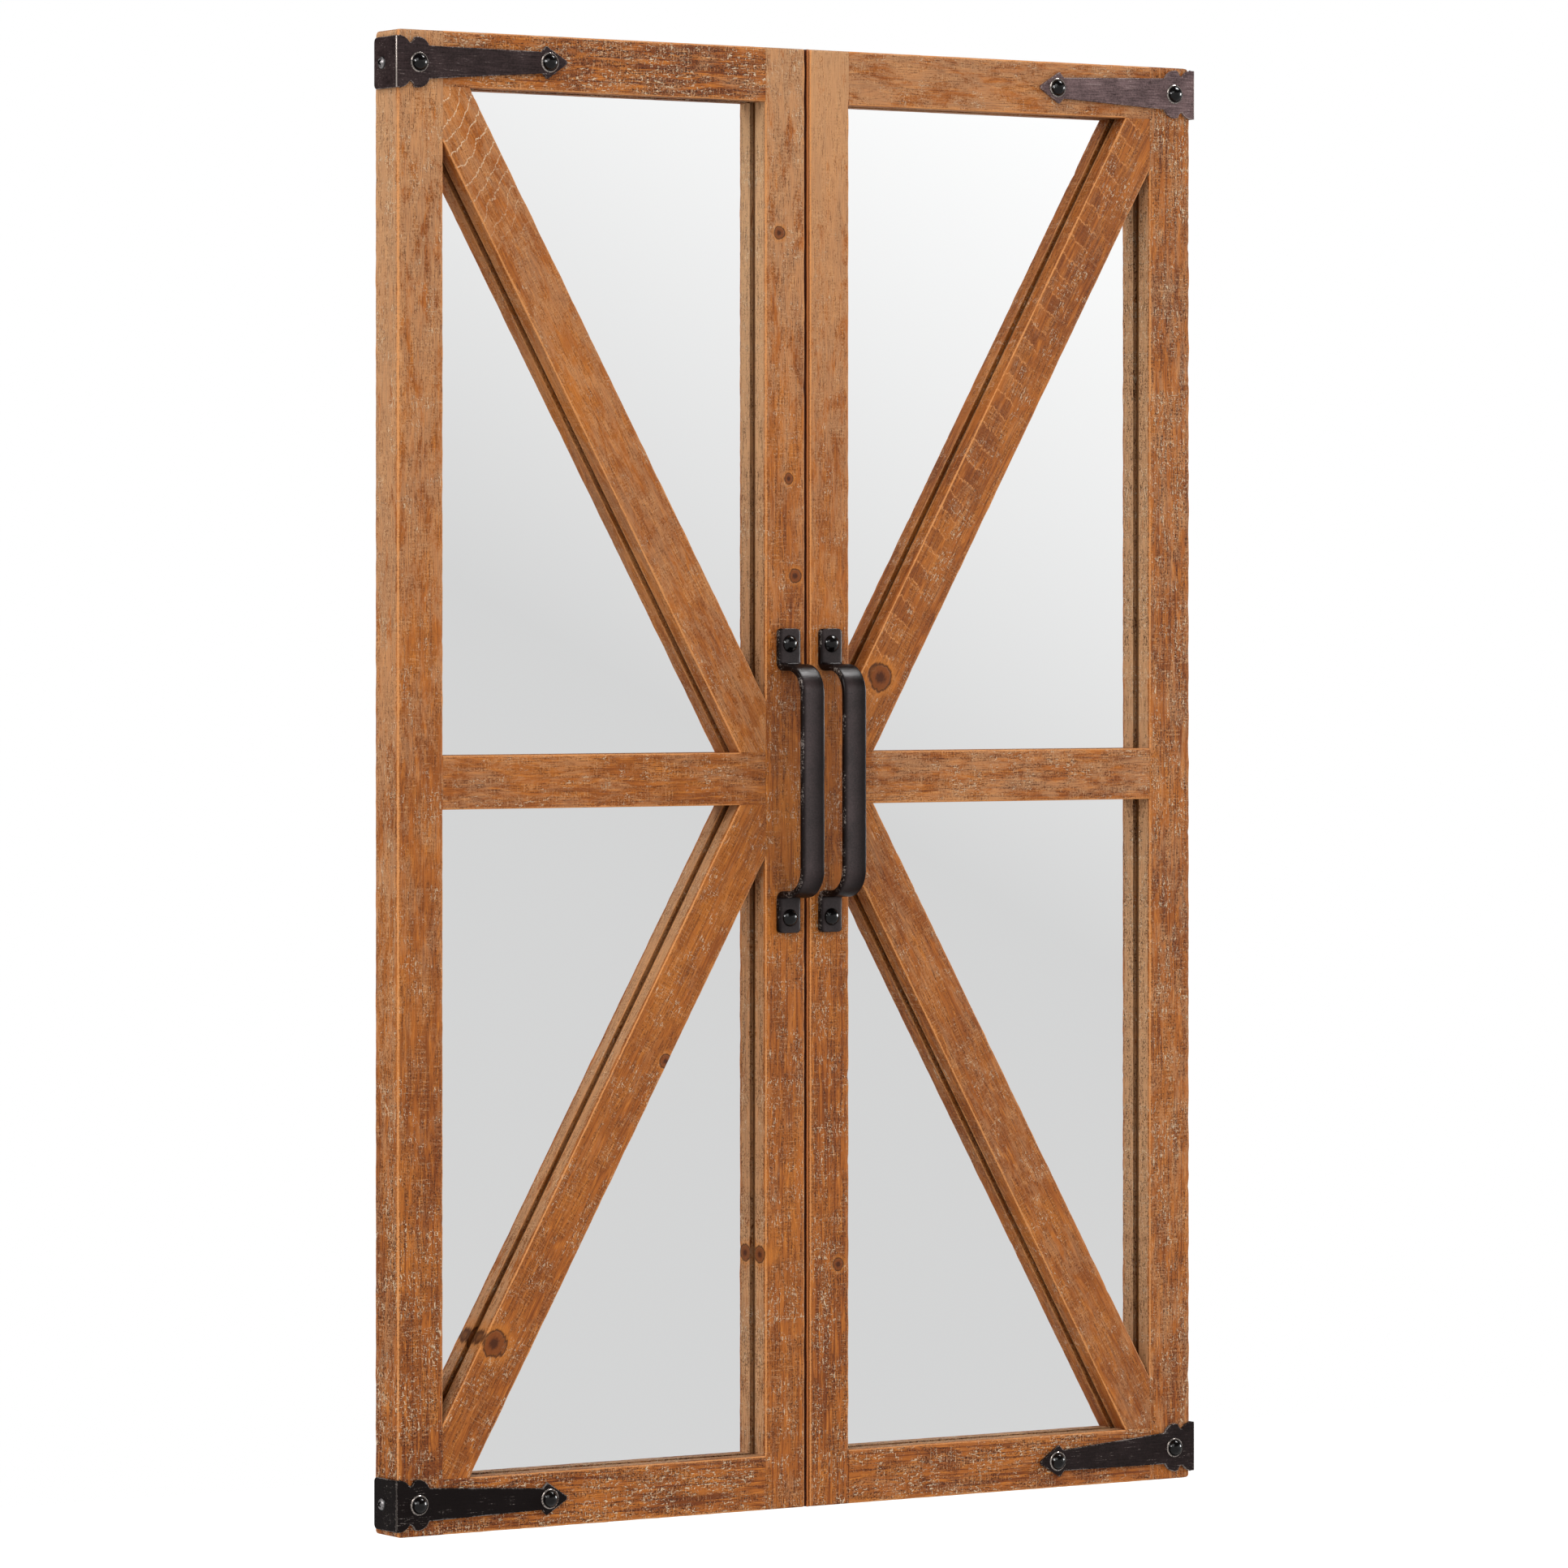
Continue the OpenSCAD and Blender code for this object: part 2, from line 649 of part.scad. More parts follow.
// Side view of one half of a handle: x is the distance out from the wood, y the height.
module handle_half_section() {
    arm_top = handle_h / 2 - handle_plate_h;
    arm_under = arm_top - handle_t;
    grip_back = handle_reach - handle_t;
    difference() {
        union() {
            square([handle_reach, arm_top]);
            translate([0, arm_top]) square([handle_t, handle_plate_h]);
            translate([handle_t, arm_top])
                difference() {
                    square(handle_foot_r);
                    translate([handle_foot_r, handle_foot_r]) circle(handle_foot_r);
                }
        }
        difference() {
            translate([-past, -past]) square([grip_back + past, arm_under + past]);
            translate([grip_back, arm_under]) rotate(180) corner_waste(handle_bend_r - handle_t);
        }
        translate([handle_reach, arm_top]) rotate(180) corner_waste(handle_bend_r);
        translate([0, arm_under]) corner_waste(handle_foot_r + handle_t);
    }
}

module pull_handle(side)
    on_wall() on_door(side) color(black_iron)
        translate([half_w - handle_x, 0, handle_z])
            difference() {
                rotate([90, 0, -90])
                    linear_extrude(handle_w, center = true)
                        for (half = [0, 1]) mirror([0, half]) handle_half_section();
                for (end = ENDS, edge = SIDES)
                    translate([edge * handle_w / 2, 0, end * handle_h / 2])
                        mirror([edge == RIGHT ? 1 : 0, 0, 0]) mirror([0, 0, end == TOP ? 1 : 0])
                            run_back(-handle_t - past, past) corner_waste(handle_corner_r);
                for (end = ENDS)
                    hole_back(0, end * (handle_h / 2 - handle_screw_in), -handle_t - past, past,
                              handle_screw_d + 2 * shank_gap);
            }

// A dome-head screw whose head stands on z = 0.
module handle_dome_screw()
    rotate_extrude() {
        translate([0, -handle_t - handle_screw_depth])
            square([handle_screw_d / 2, handle_t + handle_screw_depth]);
        low_dome(handle_dome_d, handle_dome_h);
    }

module handle_dome_screws()
    on_wall() color(black_iron)
        for (side = SIDES, z = handle_screws_z)
            on_door(side)
                translate([half_w - handle_x, -handle_t, z]) rotate([90, 0, 0]) handle_dome_screw();

// Puts a piece made round the eye's axis on the back of an outer stile.
module at_eye(side)
    on_door(side) translate([hanger_x, eye_y, eye_z]) children();

module hanger_strap(side)
    on_wall() color(zinc)
        difference() {
            at_eye(side) {
                run_back(-eye_outer_r, hanger_t - eye_outer_r) {
                    translate([-hanger_w / 2, hanger_w / 2 - hanger_l])
                        square([hanger_w, hanger_l - hanger_w / 2]);
                    translate([0, hanger_w / 2 - hanger_l]) circle(d = hanger_w);
                }
                rotate([0, 90, 0])
                    difference() {
                        cylinder(h = hanger_w, r = eye_outer_r, center = true);
                        cylinder(h = hanger_w + 2 * past, r = eye_r, center = true);
                    }
            }
            on_door(side)
                for (z = hanger_screws_z)
                    hole_back(hanger_x, z, frame_d - past, frame_d + hanger_t + past,
                              small_screw_d + 2 * shank_gap);
        }

module wire(l) cylinder(h = l, d = ring_wire_d);

// A stretch of bent wire in the x-z plane, from +x round towards +z.
module wire_bend(r, angle)
    rotate([90, 0, 0]) rotate_extrude(angle = angle) translate([r, 0]) circle(d = ring_wire_d);

// Half of the ring: its bar, one lower corner, one leg and a quarter of its bow.
module ring_half() {
    bar_l = ring_bow_r - ring_corner_r;
    rotate([0, 90, 0]) wire(bar_l);
    translate([bar_l, 0, ring_corner_r]) mirror([0, 0, 1]) wire_bend(ring_corner_r, 90);
    translate([ring_bow_r, 0, ring_corner_r]) wire(ring_leg - ring_corner_r);
    translate([0, 0, ring_leg]) wire_bend(ring_bow_r, 90);
}

module hanger_ring(side)
    on_wall() at_eye(side) color(zinc)
        for (half = [0, 1]) mirror([half, 0, 0]) ring_half();

module hanger_screws()
    on_wall() color(zinc)
        for (side = SIDES, z = hanger_screws_z)
            on_door(side) translate([hanger_x, frame_d + hanger_t, z]) small_screw(0);

module wall_bumpers()
    on_wall() color(grey_rubber)
        for (side = SIDES, end = ENDS)
            on_door(side) at_end(end)
                translate([recess_x0 - hardware_gap - bumper_d / 2, frame_d, recess_z0 / 2])
                    rotate([-90, 0, 0]) cylinder(h = bumper_h, d1 = bumper_d, d2 = bumper_d * 0.85);

outer_stile(LEFT);  // left_outer_stile
outer_stile(RIGHT);  // right_outer_stile
centre_stile(LEFT);  // left_centre_stile
centre_stile(RIGHT);  // right_centre_stile
end_rail(LEFT, TOP);  // left_top_rail
end_rail(RIGHT, TOP);  // right_top_rail
end_rail(LEFT, BOTTOM);  // left_bottom_rail
end_rail(RIGHT, BOTTOM);  // right_bottom_rail
middle_rail(LEFT);  // left_middle_rail
middle_rail(RIGHT);  // right_middle_rail
brace(LEFT, TOP);  // left_upper_brace
brace(LEFT, BOTTOM);  // left_lower_brace
brace(RIGHT, TOP);  // right_upper_brace
brace(RIGHT, BOTTOM);  // right_lower_brace
seam_bead();
frame_dowels();
mirror_pane(LEFT);  // left_mirror_pane
mirror_pane(RIGHT);  // right_mirror_pane
bedding_tape(LEFT);  // left_bedding_tape
bedding_tape(RIGHT);  // right_bedding_tape
backing_board();
backing_screws();
strap_hinge(LEFT, TOP);  // top_left_strap_hinge
strap_hinge(LEFT, BOTTOM);  // bottom_left_strap_hinge
strap_hinge(RIGHT, TOP);  // top_right_strap_hinge
strap_hinge(RIGHT, BOTTOM);  // bottom_right_strap_hinge
hinge_dome_nails();
hinge_side_screws();
pull_handle(LEFT);  // left_pull_handle
pull_handle(RIGHT);  // right_pull_handle
handle_dome_screws();
hanger_strap(LEFT);  // left_hanger_strap
hanger_strap(RIGHT);  // right_hanger_strap
hanger_ring(LEFT);  // left_hanger_ring
hanger_ring(RIGHT);  // right_hanger_ring
hanger_screws();
wall_bumpers();
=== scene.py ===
"""Dresses a wall mirror made as a closed pair of braced shutters, on its fixed frame."""

import json
import math

import bmesh
import bpy
from bpy.props import FloatProperty, FloatVectorProperty, IntProperty, PointerProperty
from mathutils import Matrix, Vector, noise


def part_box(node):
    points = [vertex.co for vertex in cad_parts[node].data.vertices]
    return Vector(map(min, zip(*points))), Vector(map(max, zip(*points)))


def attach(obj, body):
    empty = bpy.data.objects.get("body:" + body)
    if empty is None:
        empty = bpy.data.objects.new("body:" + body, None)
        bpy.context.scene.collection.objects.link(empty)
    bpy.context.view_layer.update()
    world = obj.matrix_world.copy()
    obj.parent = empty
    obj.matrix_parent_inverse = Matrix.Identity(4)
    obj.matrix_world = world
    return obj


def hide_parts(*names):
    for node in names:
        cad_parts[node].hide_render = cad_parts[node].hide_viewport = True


bl_info = {
    "name": "Shutter Mirror",
    "version": (1, 0, 0),
    "blender": (4, 5, 0),
    "location": "View3D > Sidebar > Shutter Mirror",
    "description": "Makes the worn boards, black ironwork and mirror glass of a shutter mirror",
    "category": "Add Mesh",
}

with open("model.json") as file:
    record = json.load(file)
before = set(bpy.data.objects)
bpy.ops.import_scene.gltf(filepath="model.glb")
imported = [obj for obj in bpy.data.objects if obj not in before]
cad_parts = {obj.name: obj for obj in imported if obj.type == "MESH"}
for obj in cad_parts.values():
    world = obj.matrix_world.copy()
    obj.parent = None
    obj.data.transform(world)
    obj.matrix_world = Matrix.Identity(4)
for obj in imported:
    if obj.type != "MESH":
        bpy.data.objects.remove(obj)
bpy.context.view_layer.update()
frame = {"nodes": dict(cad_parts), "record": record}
BODY = "frame"
MM = 0.001
TINY = 1e-6

FRONT_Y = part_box("left_outer_stile")[0].y
BACK_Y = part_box("left_outer_stile")[1].y
POCKET_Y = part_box("left_middle_rail")[1].y
# the radius of an edge that is left square, and the turn below which faces are shaded as one
SQUARE = 0.3 * MM
SMOOTH_BELOW = math.radians(35.0)


def lit(tone):
    """A screen tone of 0 to 255 as a linear value."""
    return ((tone / 255 + 0.055) / 1.055) ** 2.4


def length(name, words, value, low=0.0):
    """A length that a user can change, in metres, from its default in millimetres."""
    return FloatProperty(name=name, description=words, default=value * MM, min=low, unit="LENGTH",
                         precision=5)


def ratio(name, words, value, high=1.0):
    return FloatProperty(name=name, description=words, default=value, min=0.0, max=high)


def colour(name, words, *tones):
    """A colour that a user can change, from its default on the screen's scale of 0 to 255."""
    return FloatVectorProperty(name=name, description=words, default=[lit(tone) for tone in tones],
                               min=0.0, max=1.0, size=3, subtype="COLOR")


def power(name, words, value):
    return FloatProperty(name=name, description=words, default=value, min=0.0, unit="POWER")


class WoodSettings(bpy.types.PropertyGroup):
    """The boards of the frame and their stain."""

    row_step: length("Row step", "Distance between the rows of points along a board", 2.5, 0.001)
    outer_arris: length("Outer arris", "Radius of the front's outer edges", 1.5)
    inner_arris: length("Inner arris", "Radius of the edges along the openings and the groove", 1.0)
    corner: length("Corner", "Radius of the frame's four corners, seen from the front", 2.5)
    wave: length("Wave", "How far a board's faces rise and fall", 0.16)
    edge_wear: ratio("Edge wear", "How much the radius of a worn edge varies along it", 0.7)
    brace_w: length("Brace width", "Width of a diagonal brace", 31.0)
    rib_w: length("Rib width", "Width of the rib in the groove between the doors", 1.0)
    rib_gap: length("Rib gap", "Gap between the rib and the right centre stile", 0.5)
    groove_d: length("Groove depth", "Depth of the groove between the doors", 3.2)
    amber: colour("Amber", "Wood where the stain is thin", 204, 125, 50)
    brown: colour("Brown", "Wood under the full stain", 172, 98, 38)
    umber: colour("Umber", "Wood where the stain lies thick", 112, 54, 20)
    # on the side walls that face the light this film is partly painted light
    wash: colour("Wash", "Thin pale film over the stain", 206, 162, 119)
    fleck: colour("Fleck", "Flecks of pale film caught in the grain", 230, 204, 170)
    worn: colour("Worn", "Rubbed edges", 218, 148, 88)
    # also the colour of the painted shadow beside each fleck
    nick_and_shadow: colour("Nick", "Cuts and cracks", 58, 26, 12)
    # the colour of the painted shade deep in the groove
    groove: colour("Groove", "Stain in the groove between the doors", 66, 24, 8)


class IronSettings(bpy.types.PropertyGroup):
    """The strap hinges, pull handles and their nails and screws."""

    black: colour("Black", "Painted iron", 13, 6, 5)
    # this grey is partly painted sheen, on the handles' fronts and the top right hinge
    dust_and_sheen: colour("Dust", "Dust and fine scratches that turn the paint grey", 124, 101, 101)
    # also the colour of the painted highlights along the hinges' bends, the handles' left edges and the
    # domes' rims
    rubbed: colour("Rubbed", "Iron where the paint is rubbed", 186, 174, 166)
    gloss: colour("Gloss", "Dome heads", 9, 6, 6)
    plate_edge: length("Plate edge", "Bevel along the edges of a hinge", 0.35)
    bar_edge: length("Bar edge", "Radius of the edges of a handle's bar", 1.3)
    bend_r: length("Bend", "Outside radius of the bends at a handle's grip", 17.5)
    foot_r: length("Foot", "Inside radius of the bends at a handle's plates", 1.5)
    plate_h: length("Plate height", "Height of a handle's end plate", 21.0)
    plate_corner: length("Plate corner", "Radius of the corners of an end plate", 2.5)
    bar_t: length("Bar thickness", "Thickness of a handle's flat bar", 4.0)
    rounds: IntProperty(name="Rounds", description="Facets round a dome head", default=40, min=8)


class StageSettings(bpy.types.PropertyGroup):
    """The camera, lamps, floor and surroundings."""

    azimuth: FloatProperty(name="Azimuth", description="Turn of the camera to the left of the front",
                           default=math.radians(32.83), subtype="ANGLE")
    lens: FloatProperty(name="Lens", description="Focal length in millimetres on a 36 mm sensor",
                        default=168.26)
    shift: FloatProperty(name="Shift", description="Vertical shift of the lens", default=-0.0988)
    camera_at: FloatVectorProperty(name="Camera", description="Where the camera stands",
                                   subtype="TRANSLATION", default=(-2.3666, -3.6744, -0.1937))
    floor_z: length("Floor", "Height of the floor", -1620.0, -10.0)
    floor_size: length("Floor size", "Width of the floor", 14000.0)
    ambient: ratio("Ambient", "Brightness of the light from all round", 0.86, 3.0)
    overhead: ratio("Overhead", "How much more of that light comes from above than from below", 0.35)
    key: power("Key", "Power of the lamp at the upper left", 75.0)
    glint: power("Glint", "Power of each of the three lamps that only glossy parts show", 110.0)
    fill: power("Fill", "Power of the lamp behind", 30.0)


class Term:
    """One value in a material. Arithmetic on it adds Math nodes."""

    def __init__(self, shader, socket):
        self.shader = shader
        self.socket = socket

    def math(self, operation, *others):
        return self.shader.maths(operation, self, *others)

    def __add__(self, other):
        return self.math("ADD", other)

    def __sub__(self, other):
        return self.math("SUBTRACT", other)

    def __mul__(self, other):
        return self.math("MULTIPLY", other)

    def __rsub__(self, other):
        return self.shader.maths("SUBTRACT", other, self)

    __radd__ = __add__
    __rmul__ = __mul__

    def step(self, low, high):
        """0 below low and 1 above high, smooth between them."""
        return self.shader.node("ShaderNodeMapRange", {"interpolation_type": "SMOOTHSTEP"},
                                {0: self, 1: low, 2: high})

    def fall(self, low, high):
        """1 below low and 0 above high."""
        return 1 - self.step(low, high)

    def at_most(self, limit=1.0):
        return self.math("MINIMUM", limit)

    def at_least(self, limit=0.0):
        return self.math("MAXIMUM", limit)


class Shader:
    """Builds the node tree of a material or of the world."""

    def __init__(self, tree):
        self.tree = tree
        tree.nodes.clear()

    def node(self, kind, settings=None, values=None, output=0):
        """Adds a node: first its settings, then the values or links of its sockets."""
        made = self.tree.nodes.new(kind)
        for name, setting in (settings or {}).items():
            setattr(made, name, setting)
        for key, value in (values or {}).items():
            socket = made.inputs[key]
            if isinstance(value, Term):
                self.tree.links.new(value.socket, socket)
            elif socket.type == "RGBA":
                socket.default_value = (*value, 1.0)
            else:
                socket.default_value = value
        return Term(self, made.outputs[output])

    def maths(self, operation, *terms):
        return self.node("ShaderNodeMath", {"operation": operation}, dict(enumerate(terms)))

    def split(self, vector):
        return [self.node("ShaderNodeSeparateXYZ", None, {0: vector}, axis) for axis in range(3)]

    def attribute(self, name):
        return self.node("ShaderNodeAttribute", {"attribute_name": name}, None, 1)

    def rays(self, *kinds):
        """For each of these kinds, 1 for its rays and 0 for others."""
        return [self.node("ShaderNodeLightPath", None, None, f"Is {kind} Ray") for kind in kinds]

    def place(self):
        """The piece's own place, in millimetres."""
        return self.stretch(self.node("ShaderNodeTexCoord", None, None, 3), (1000.0, 1000.0, 1000.0))

    def stretch(self, vector, by):
        return self.node("ShaderNodeVectorMath", {"operation": "MULTIPLY"}, {0: vector, 1: by})

    def noise(self, at, per_mm, detail=2.0, rough=0.5, bend=0.0):
        """Noise whose grain has the given number of lumps to a millimetre along each axis."""
        values = {"Vector": self.stretch(at, per_mm), "Scale": 1.0, "Detail": detail,
                  "Roughness": rough, "Distortion": bend}
        return self.node("ShaderNodeTexNoise", None, values)

    def mix(self, amount, first, second):
        return self.node("ShaderNodeMix", {"data_type": "RGBA"}, {0: amount, 6: first, 7: second}, 2)

    def bump(self, height, depth_mm, strength=1.0):
        return self.node("ShaderNodeBump", None, {"Height": height, "Distance": depth_mm * MM,
                                                  "Strength": strength})

    def output(self, kind, surface):
        self.tree.links.new(surface.socket, self.tree.nodes.new(kind).inputs[0])


def material(name):
    """The shader of a new material, which is its made."""
    made = bpy.data.materials.new(name)
    made.use_nodes = True
    shader = Shader(made.node_tree)
    shader.made = made
    return shader


def principled(shader, values):
    """The material, closed with a Principled surface of these values."""
    shader.output("ShaderNodeOutputMaterial", shader.node("ShaderNodeBsdfPrincipled", None, values))
    return shader.made


def stained_pine(look):
    """Brown-stained softwood under a thin pale film, with saw marks, flecks, knots and rubbed edges."""
    shader = material("stained_pine")
    at = shader.attribute("board")
    worn, film_and_lit_side, end = shader.split(shader.attribute("finish"))
    smooth, red, chatter = shader.split(shader.attribute("character"))
    knot_x, knot_z, knot_near = shader.split(shader.attribute("knot"))
    x, y, z = shader.split(at)
    rough = 1 - smooth

    cloud = shader.noise(at, (0.03, 0.03, 0.014), 2, 0.5)
    mottle = shader.noise(at, (0.2, 0.2, 0.035), 4, 0.66, 0.5)
    streak = shader.noise(at, (0.6, 0.6, 0.013), 3, 0.6)
    fibre = shader.noise(at, (2.0, 2.0, 0.1), 2, 0.6)
    saw = shader.noise(at, (0.06, 0.06, 0.9), 3, 0.7, 0.5)
    speck = shader.noise(at, (0.9, 0.9, 0.8), 3, 0.75)

    # growth rings, closed round a knot
    knot_r = (knot_x * knot_x + knot_z * knot_z).math("SQRT") + (mottle - 0.5) * 0.9
    near = knot_near * knot_r.fall(0.9, 3.0)
    ring_at = (x + y * 0.5 + cloud * 50) * 0.8 * (1 - near) + knot_r * near * 9.0
    late = (ring_at.math("SINE") * 0.5 + 0.5).step(0.7, 1.0)

    # the stain, thick and thin
    base = look.brown[:]

    def over(amount, tint):
        """Lays a colour over those before it."""
        nonlocal base
        base = shader.mix(amount, base, tint[:])

    thick = (cloud * 0.2 + mottle * 0.8 + red * 0.06).step(0.43, 0.6)
    over(thick * (0.1 + rough * 0.5), look.umber)
    thin = (mottle * 0.4 + (1 - cloud) * 0.35 + streak * 0.25).step(0.47, 0.58)
    over(thin * 0.5, look.amber)
    over(late * fibre.step(0.42, 0.6) * (0.15 + rough * 0.35), look.amber)
    over(streak.step(0.5, 0.6) * (0.15 + rough * 0.5), look.umber)

    # the pale film, heavier on the side wall that faces the light, where it is partly painted light
    veil = shader.noise(at, (0.1, 0.1, 0.035), 5, 0.75, 0.5)
    film = (veil + (speck - 0.5) * 0.3 + (film_and_lit_side - 0.5) * 0.24 + smooth * 0.1).step(0.42, 0.6)
    film = film * (0.04 + film_and_lit_side * 0.56)
    over(film, look.wash)

    # pale rows of the saw, open grain, pits and cracks
    line = saw.step(0.53, 0.6) * mottle.step(0.44, 0.56) * speck.step(0.44, 0.52) * (0.04 + rough * 0.5)
    over((line * (0.6 + film_and_lit_side * 0.4)).at_most(), look.wash)
    grain = fibre.fall(0.34, 0.5) * 0.5 + saw.fall(0.34, 0.46) * 0.15
    over((grain * (0.2 + rough * 0.6)).at_most(), look.umber)
    pits = (speck * 0.6 + fibre * 0.4).fall(0.43, 0.48) * mottle.step(0.4, 0.54)
    over(pits * (0.1 + rough * 0.5), look.nick_and_shadow)
    crack = (rough - 0.9).at_least() * speck.fall(0.4, 0.47) * mottle.step(0.42, 0.55)
    over((crack * 1.4).at_most(0.8), look.nick_and_shadow)

    # dark blocks and pale ticks where the saw skipped, and its arcs
    skip = chatter.at_least().step(0.15, 0.6)
    step = (z * 0.262 + x * 0.05 + mottle * 2.5).math("SINE")
    block = skip * step.step(-0.25, 0.25) * mottle.step(0.36, 0.52)
    over(block * 0.42, look.umber)
    tick = skip * step.math("ABSOLUTE").fall(0.0, 0.22) * speck.step(0.4, 0.52)
    over(tick * 0.7, look.worn)
    arc = (z * 0.62 - x * 0.28 + mottle * 5.0 + cloud * 20.0).math("SINE").step(0.93, 1.0)
    over(arc * speck.step(0.42, 0.5) * (0 - chatter).at_least() * 0.9, look.fleck)

    # flecks of film, each with a painted shadow beside it, in patches
    row = (z * 0.45 + cloud * 9.0).math("SINE") * 0.05
    patch = (shader.noise(at, (0.07, 0.07, 0.03), 3, 0.7) + row + (rough - 1.2) * 0.12).step(0.47, 0.6)
    # the same flecks moved a little to one side, laid dark as their painted shadow
    beside = shader.node("ShaderNodeVectorMath", {"operation": "ADD"}, {0: at, 1: (0.45, 0.0, 0.4)})
    fleck, shade = [fleck_noise(shader, spot).step(0.57, 0.62) * patch * (rough * 0.75).at_most()
                    for spot in (at, beside)]
    over(shade * 0.5, look.nick_and_shadow)
    over(fleck * 0.8, look.fleck)

    # rubbed edges, and cuts
    ragged = worn + (speck - 0.5) * 0.9 + (mottle - 0.5) * 0.9
    rubbed = ragged.step(0.6, 0.8) * worn.step(0.4, 0.7)
    over(worn.step(0.0, 1.0) * 0.15 + rubbed * 0.65, look.worn)
    scratch = shader.noise(at, (0.3, 0.3, 1.4), 2, 0.6, 0.5)
    cut = scratch.step(0.7, 0.75) * (cloud + worn * 0.2).step(0.45, 0.6)
    over(cut * 0.7, look.nick_and_shadow)

    # knots: a pale halo, a brown core, a dark rim and a dark heart
    rim = knot_near * knot_r.step(0.74, 0.9) * knot_r.fall(0.9, 1.08)
    over(knot_near * knot_r.fall(0.9, 1.8) * 0.45, look.amber)
    over(knot_near * knot_r.fall(0.7, 1.0) * 0.85, look.umber)
    over(rim * 0.85, look.nick_and_shadow)
    over(knot_near * (knot_r + speck * 0.4).fall(0.4, 0.75) * 0.8, look.nick_and_shadow)
    over(end * 0.35, look.umber)

    height = (fibre * 0.35 + streak * 0.2 + saw * 0.3 * rough + speck * 0.2 * rough
              + fleck * 0.15 - shade * 0.2 - cut * 0.9 - rim * 0.6)
    return principled(shader, {
        "Base Color": base,
        "Roughness": 0.52 + fibre * 0.2 + film * 0.15,
        "Specular IOR Level": 0.12,
        "Normal": shader.bump(height, 0.6, 0.7),
    })


def fleck_noise(shader, at):
    """Jagged lumps, some long along the grain and some across it."""
    along = shader.noise(at, (0.85, 0.85, 0.28), 3, 0.7, 0.3)
    across = shader.noise(at, (0.35, 0.35, 1.0), 3, 0.7, 0.3)
    return along.at_least(across - 0.025)


def groove_painted_shade(look):
    """Painted shade in the groove: dark wherever it lies deeper than the top of the rib, which keeps the
    brown of the wood.
    """
    shader = material("dark_stained_pine")
    at = shader.place()
    height = shader.split(shader.attribute("finish"))[0]
    fibre = shader.noise(at, (2.0, 2.0, 0.12), 3, 0.6)
    tone = shader.noise(at, (0.2, 0.2, 0.03), 3, 0.6)
    base = shader.mix(tone.step(0.35, 0.7) * 0.5, look.groove[:], look.umber[:])
    # brown along the top of the rib, painted shade deeper in
    base = shader.mix((height + (tone - 0.5) * 0.8).step(0.45, 0.8), base, look.brown[:])
    return principled(shader, {
        "Base Color": base,
        "Roughness": 0.6 + fibre * 0.2,
        "Normal": shader.bump(fibre, 0.3, 0.5),
    })


def black_iron(look):
    """Satin black paint on iron, brushed, slightly pitted and scratched, with rubbed edges and a grey dusting
    that is partly painted sheen, and painted highlights along the hinges' bends and the handles' left edges.
    """
    shader = material("black_iron")
    at = shader.place()
    worn, dust_and_sheen_share, bend = shader.split(shader.attribute("finish"))
    pit = shader.noise(at, (0.9, 0.9, 0.9), 4, 0.65)
    brush = shader.noise(at, (0.07, 0.5, 1.7), 4, 0.7)
    cloud = shader.noise(at, (0.06, 0.06, 0.06), 3, 0.6)
    # rubbed edges, and on the handles a painted highlight along the left edge
    edge_rub_and_highlight = (worn + (pit - 0.5) * 1.6 + (cloud - 0.5) * 1.4).step(0.95, 1.15)
    flat = 1 + bend.at_most(0.0)
    scratch = brush.step(0.59, 0.65) * pit.step(0.46, 0.56) * cloud.step(0.47, 0.57) * flat
    # a dusting of grey, partly painted sheen: wholly on the handles' fronts, and on the hinges most on the
    # top right one
    grey = (dust_and_sheen_share + 0.01) * (1 + (cloud - 0.5) * 2 + (pit - 0.5) * 2 + (brush - 0.5) * flat * 3)
    base = shader.mix(grey.at_least().at_most(), look.black[:], look.dust_and_sheen[:])
    # painted highlight along a hinge's bend
    bend_highlight = bend.at_least() * (0.5 + pit * 0.8)
    rub_and_highlight = (edge_rub_and_highlight * 0.35 + scratch * 0.5 + bend_highlight).at_most()
    base = shader.mix(rub_and_highlight, base, look.rubbed[:])
    return principled(shader, {
        "Base Color": base,
        "Metallic": rub_and_highlight * 0.5,
        "Coat Weight": (1 - flat) * dust_and_sheen_share * 3.5,
        "Coat Roughness": 0.3,
        "Roughness": 0.26 + pit * 0.18 - rub_and_highlight * 0.06,
        "Specular IOR Level": 0.08,
        "Normal": shader.bump(pit * 0.7 + brush * 0.3, 0.18, 0.5),
    })


def gloss_iron(look):
    """Glossy black of the dome heads, with a painted highlight round the rims of their flanges."""
    shader = material("gloss_black_iron")
    at = shader.place()
    dent = shader.noise(at, (0.45, 0.45, 0.45), 2, 0.5)
    smear = shader.noise(at, (1.4, 1.4, 1.4), 3, 0.6)
    # painted highlight round the rim of each flange
    rim = shader.split(shader.attribute("finish"))[0] * smear.step(0.38, 0.52)
    base = shader.mix(smear.step(0.6, 0.8) * 0.4, look.gloss[:], look.black[:])
    base = shader.mix(rim * 0.8, base, look.rubbed[:])
    return principled(shader, {
        "Base Color": base,
        "Metallic": rim * 0.6,
        "Roughness": 0.1 + smear * 0.12,
        "Specular IOR Level": 0.3,
        "Normal": shader.bump(dent, 0.35, 0.5),
    })


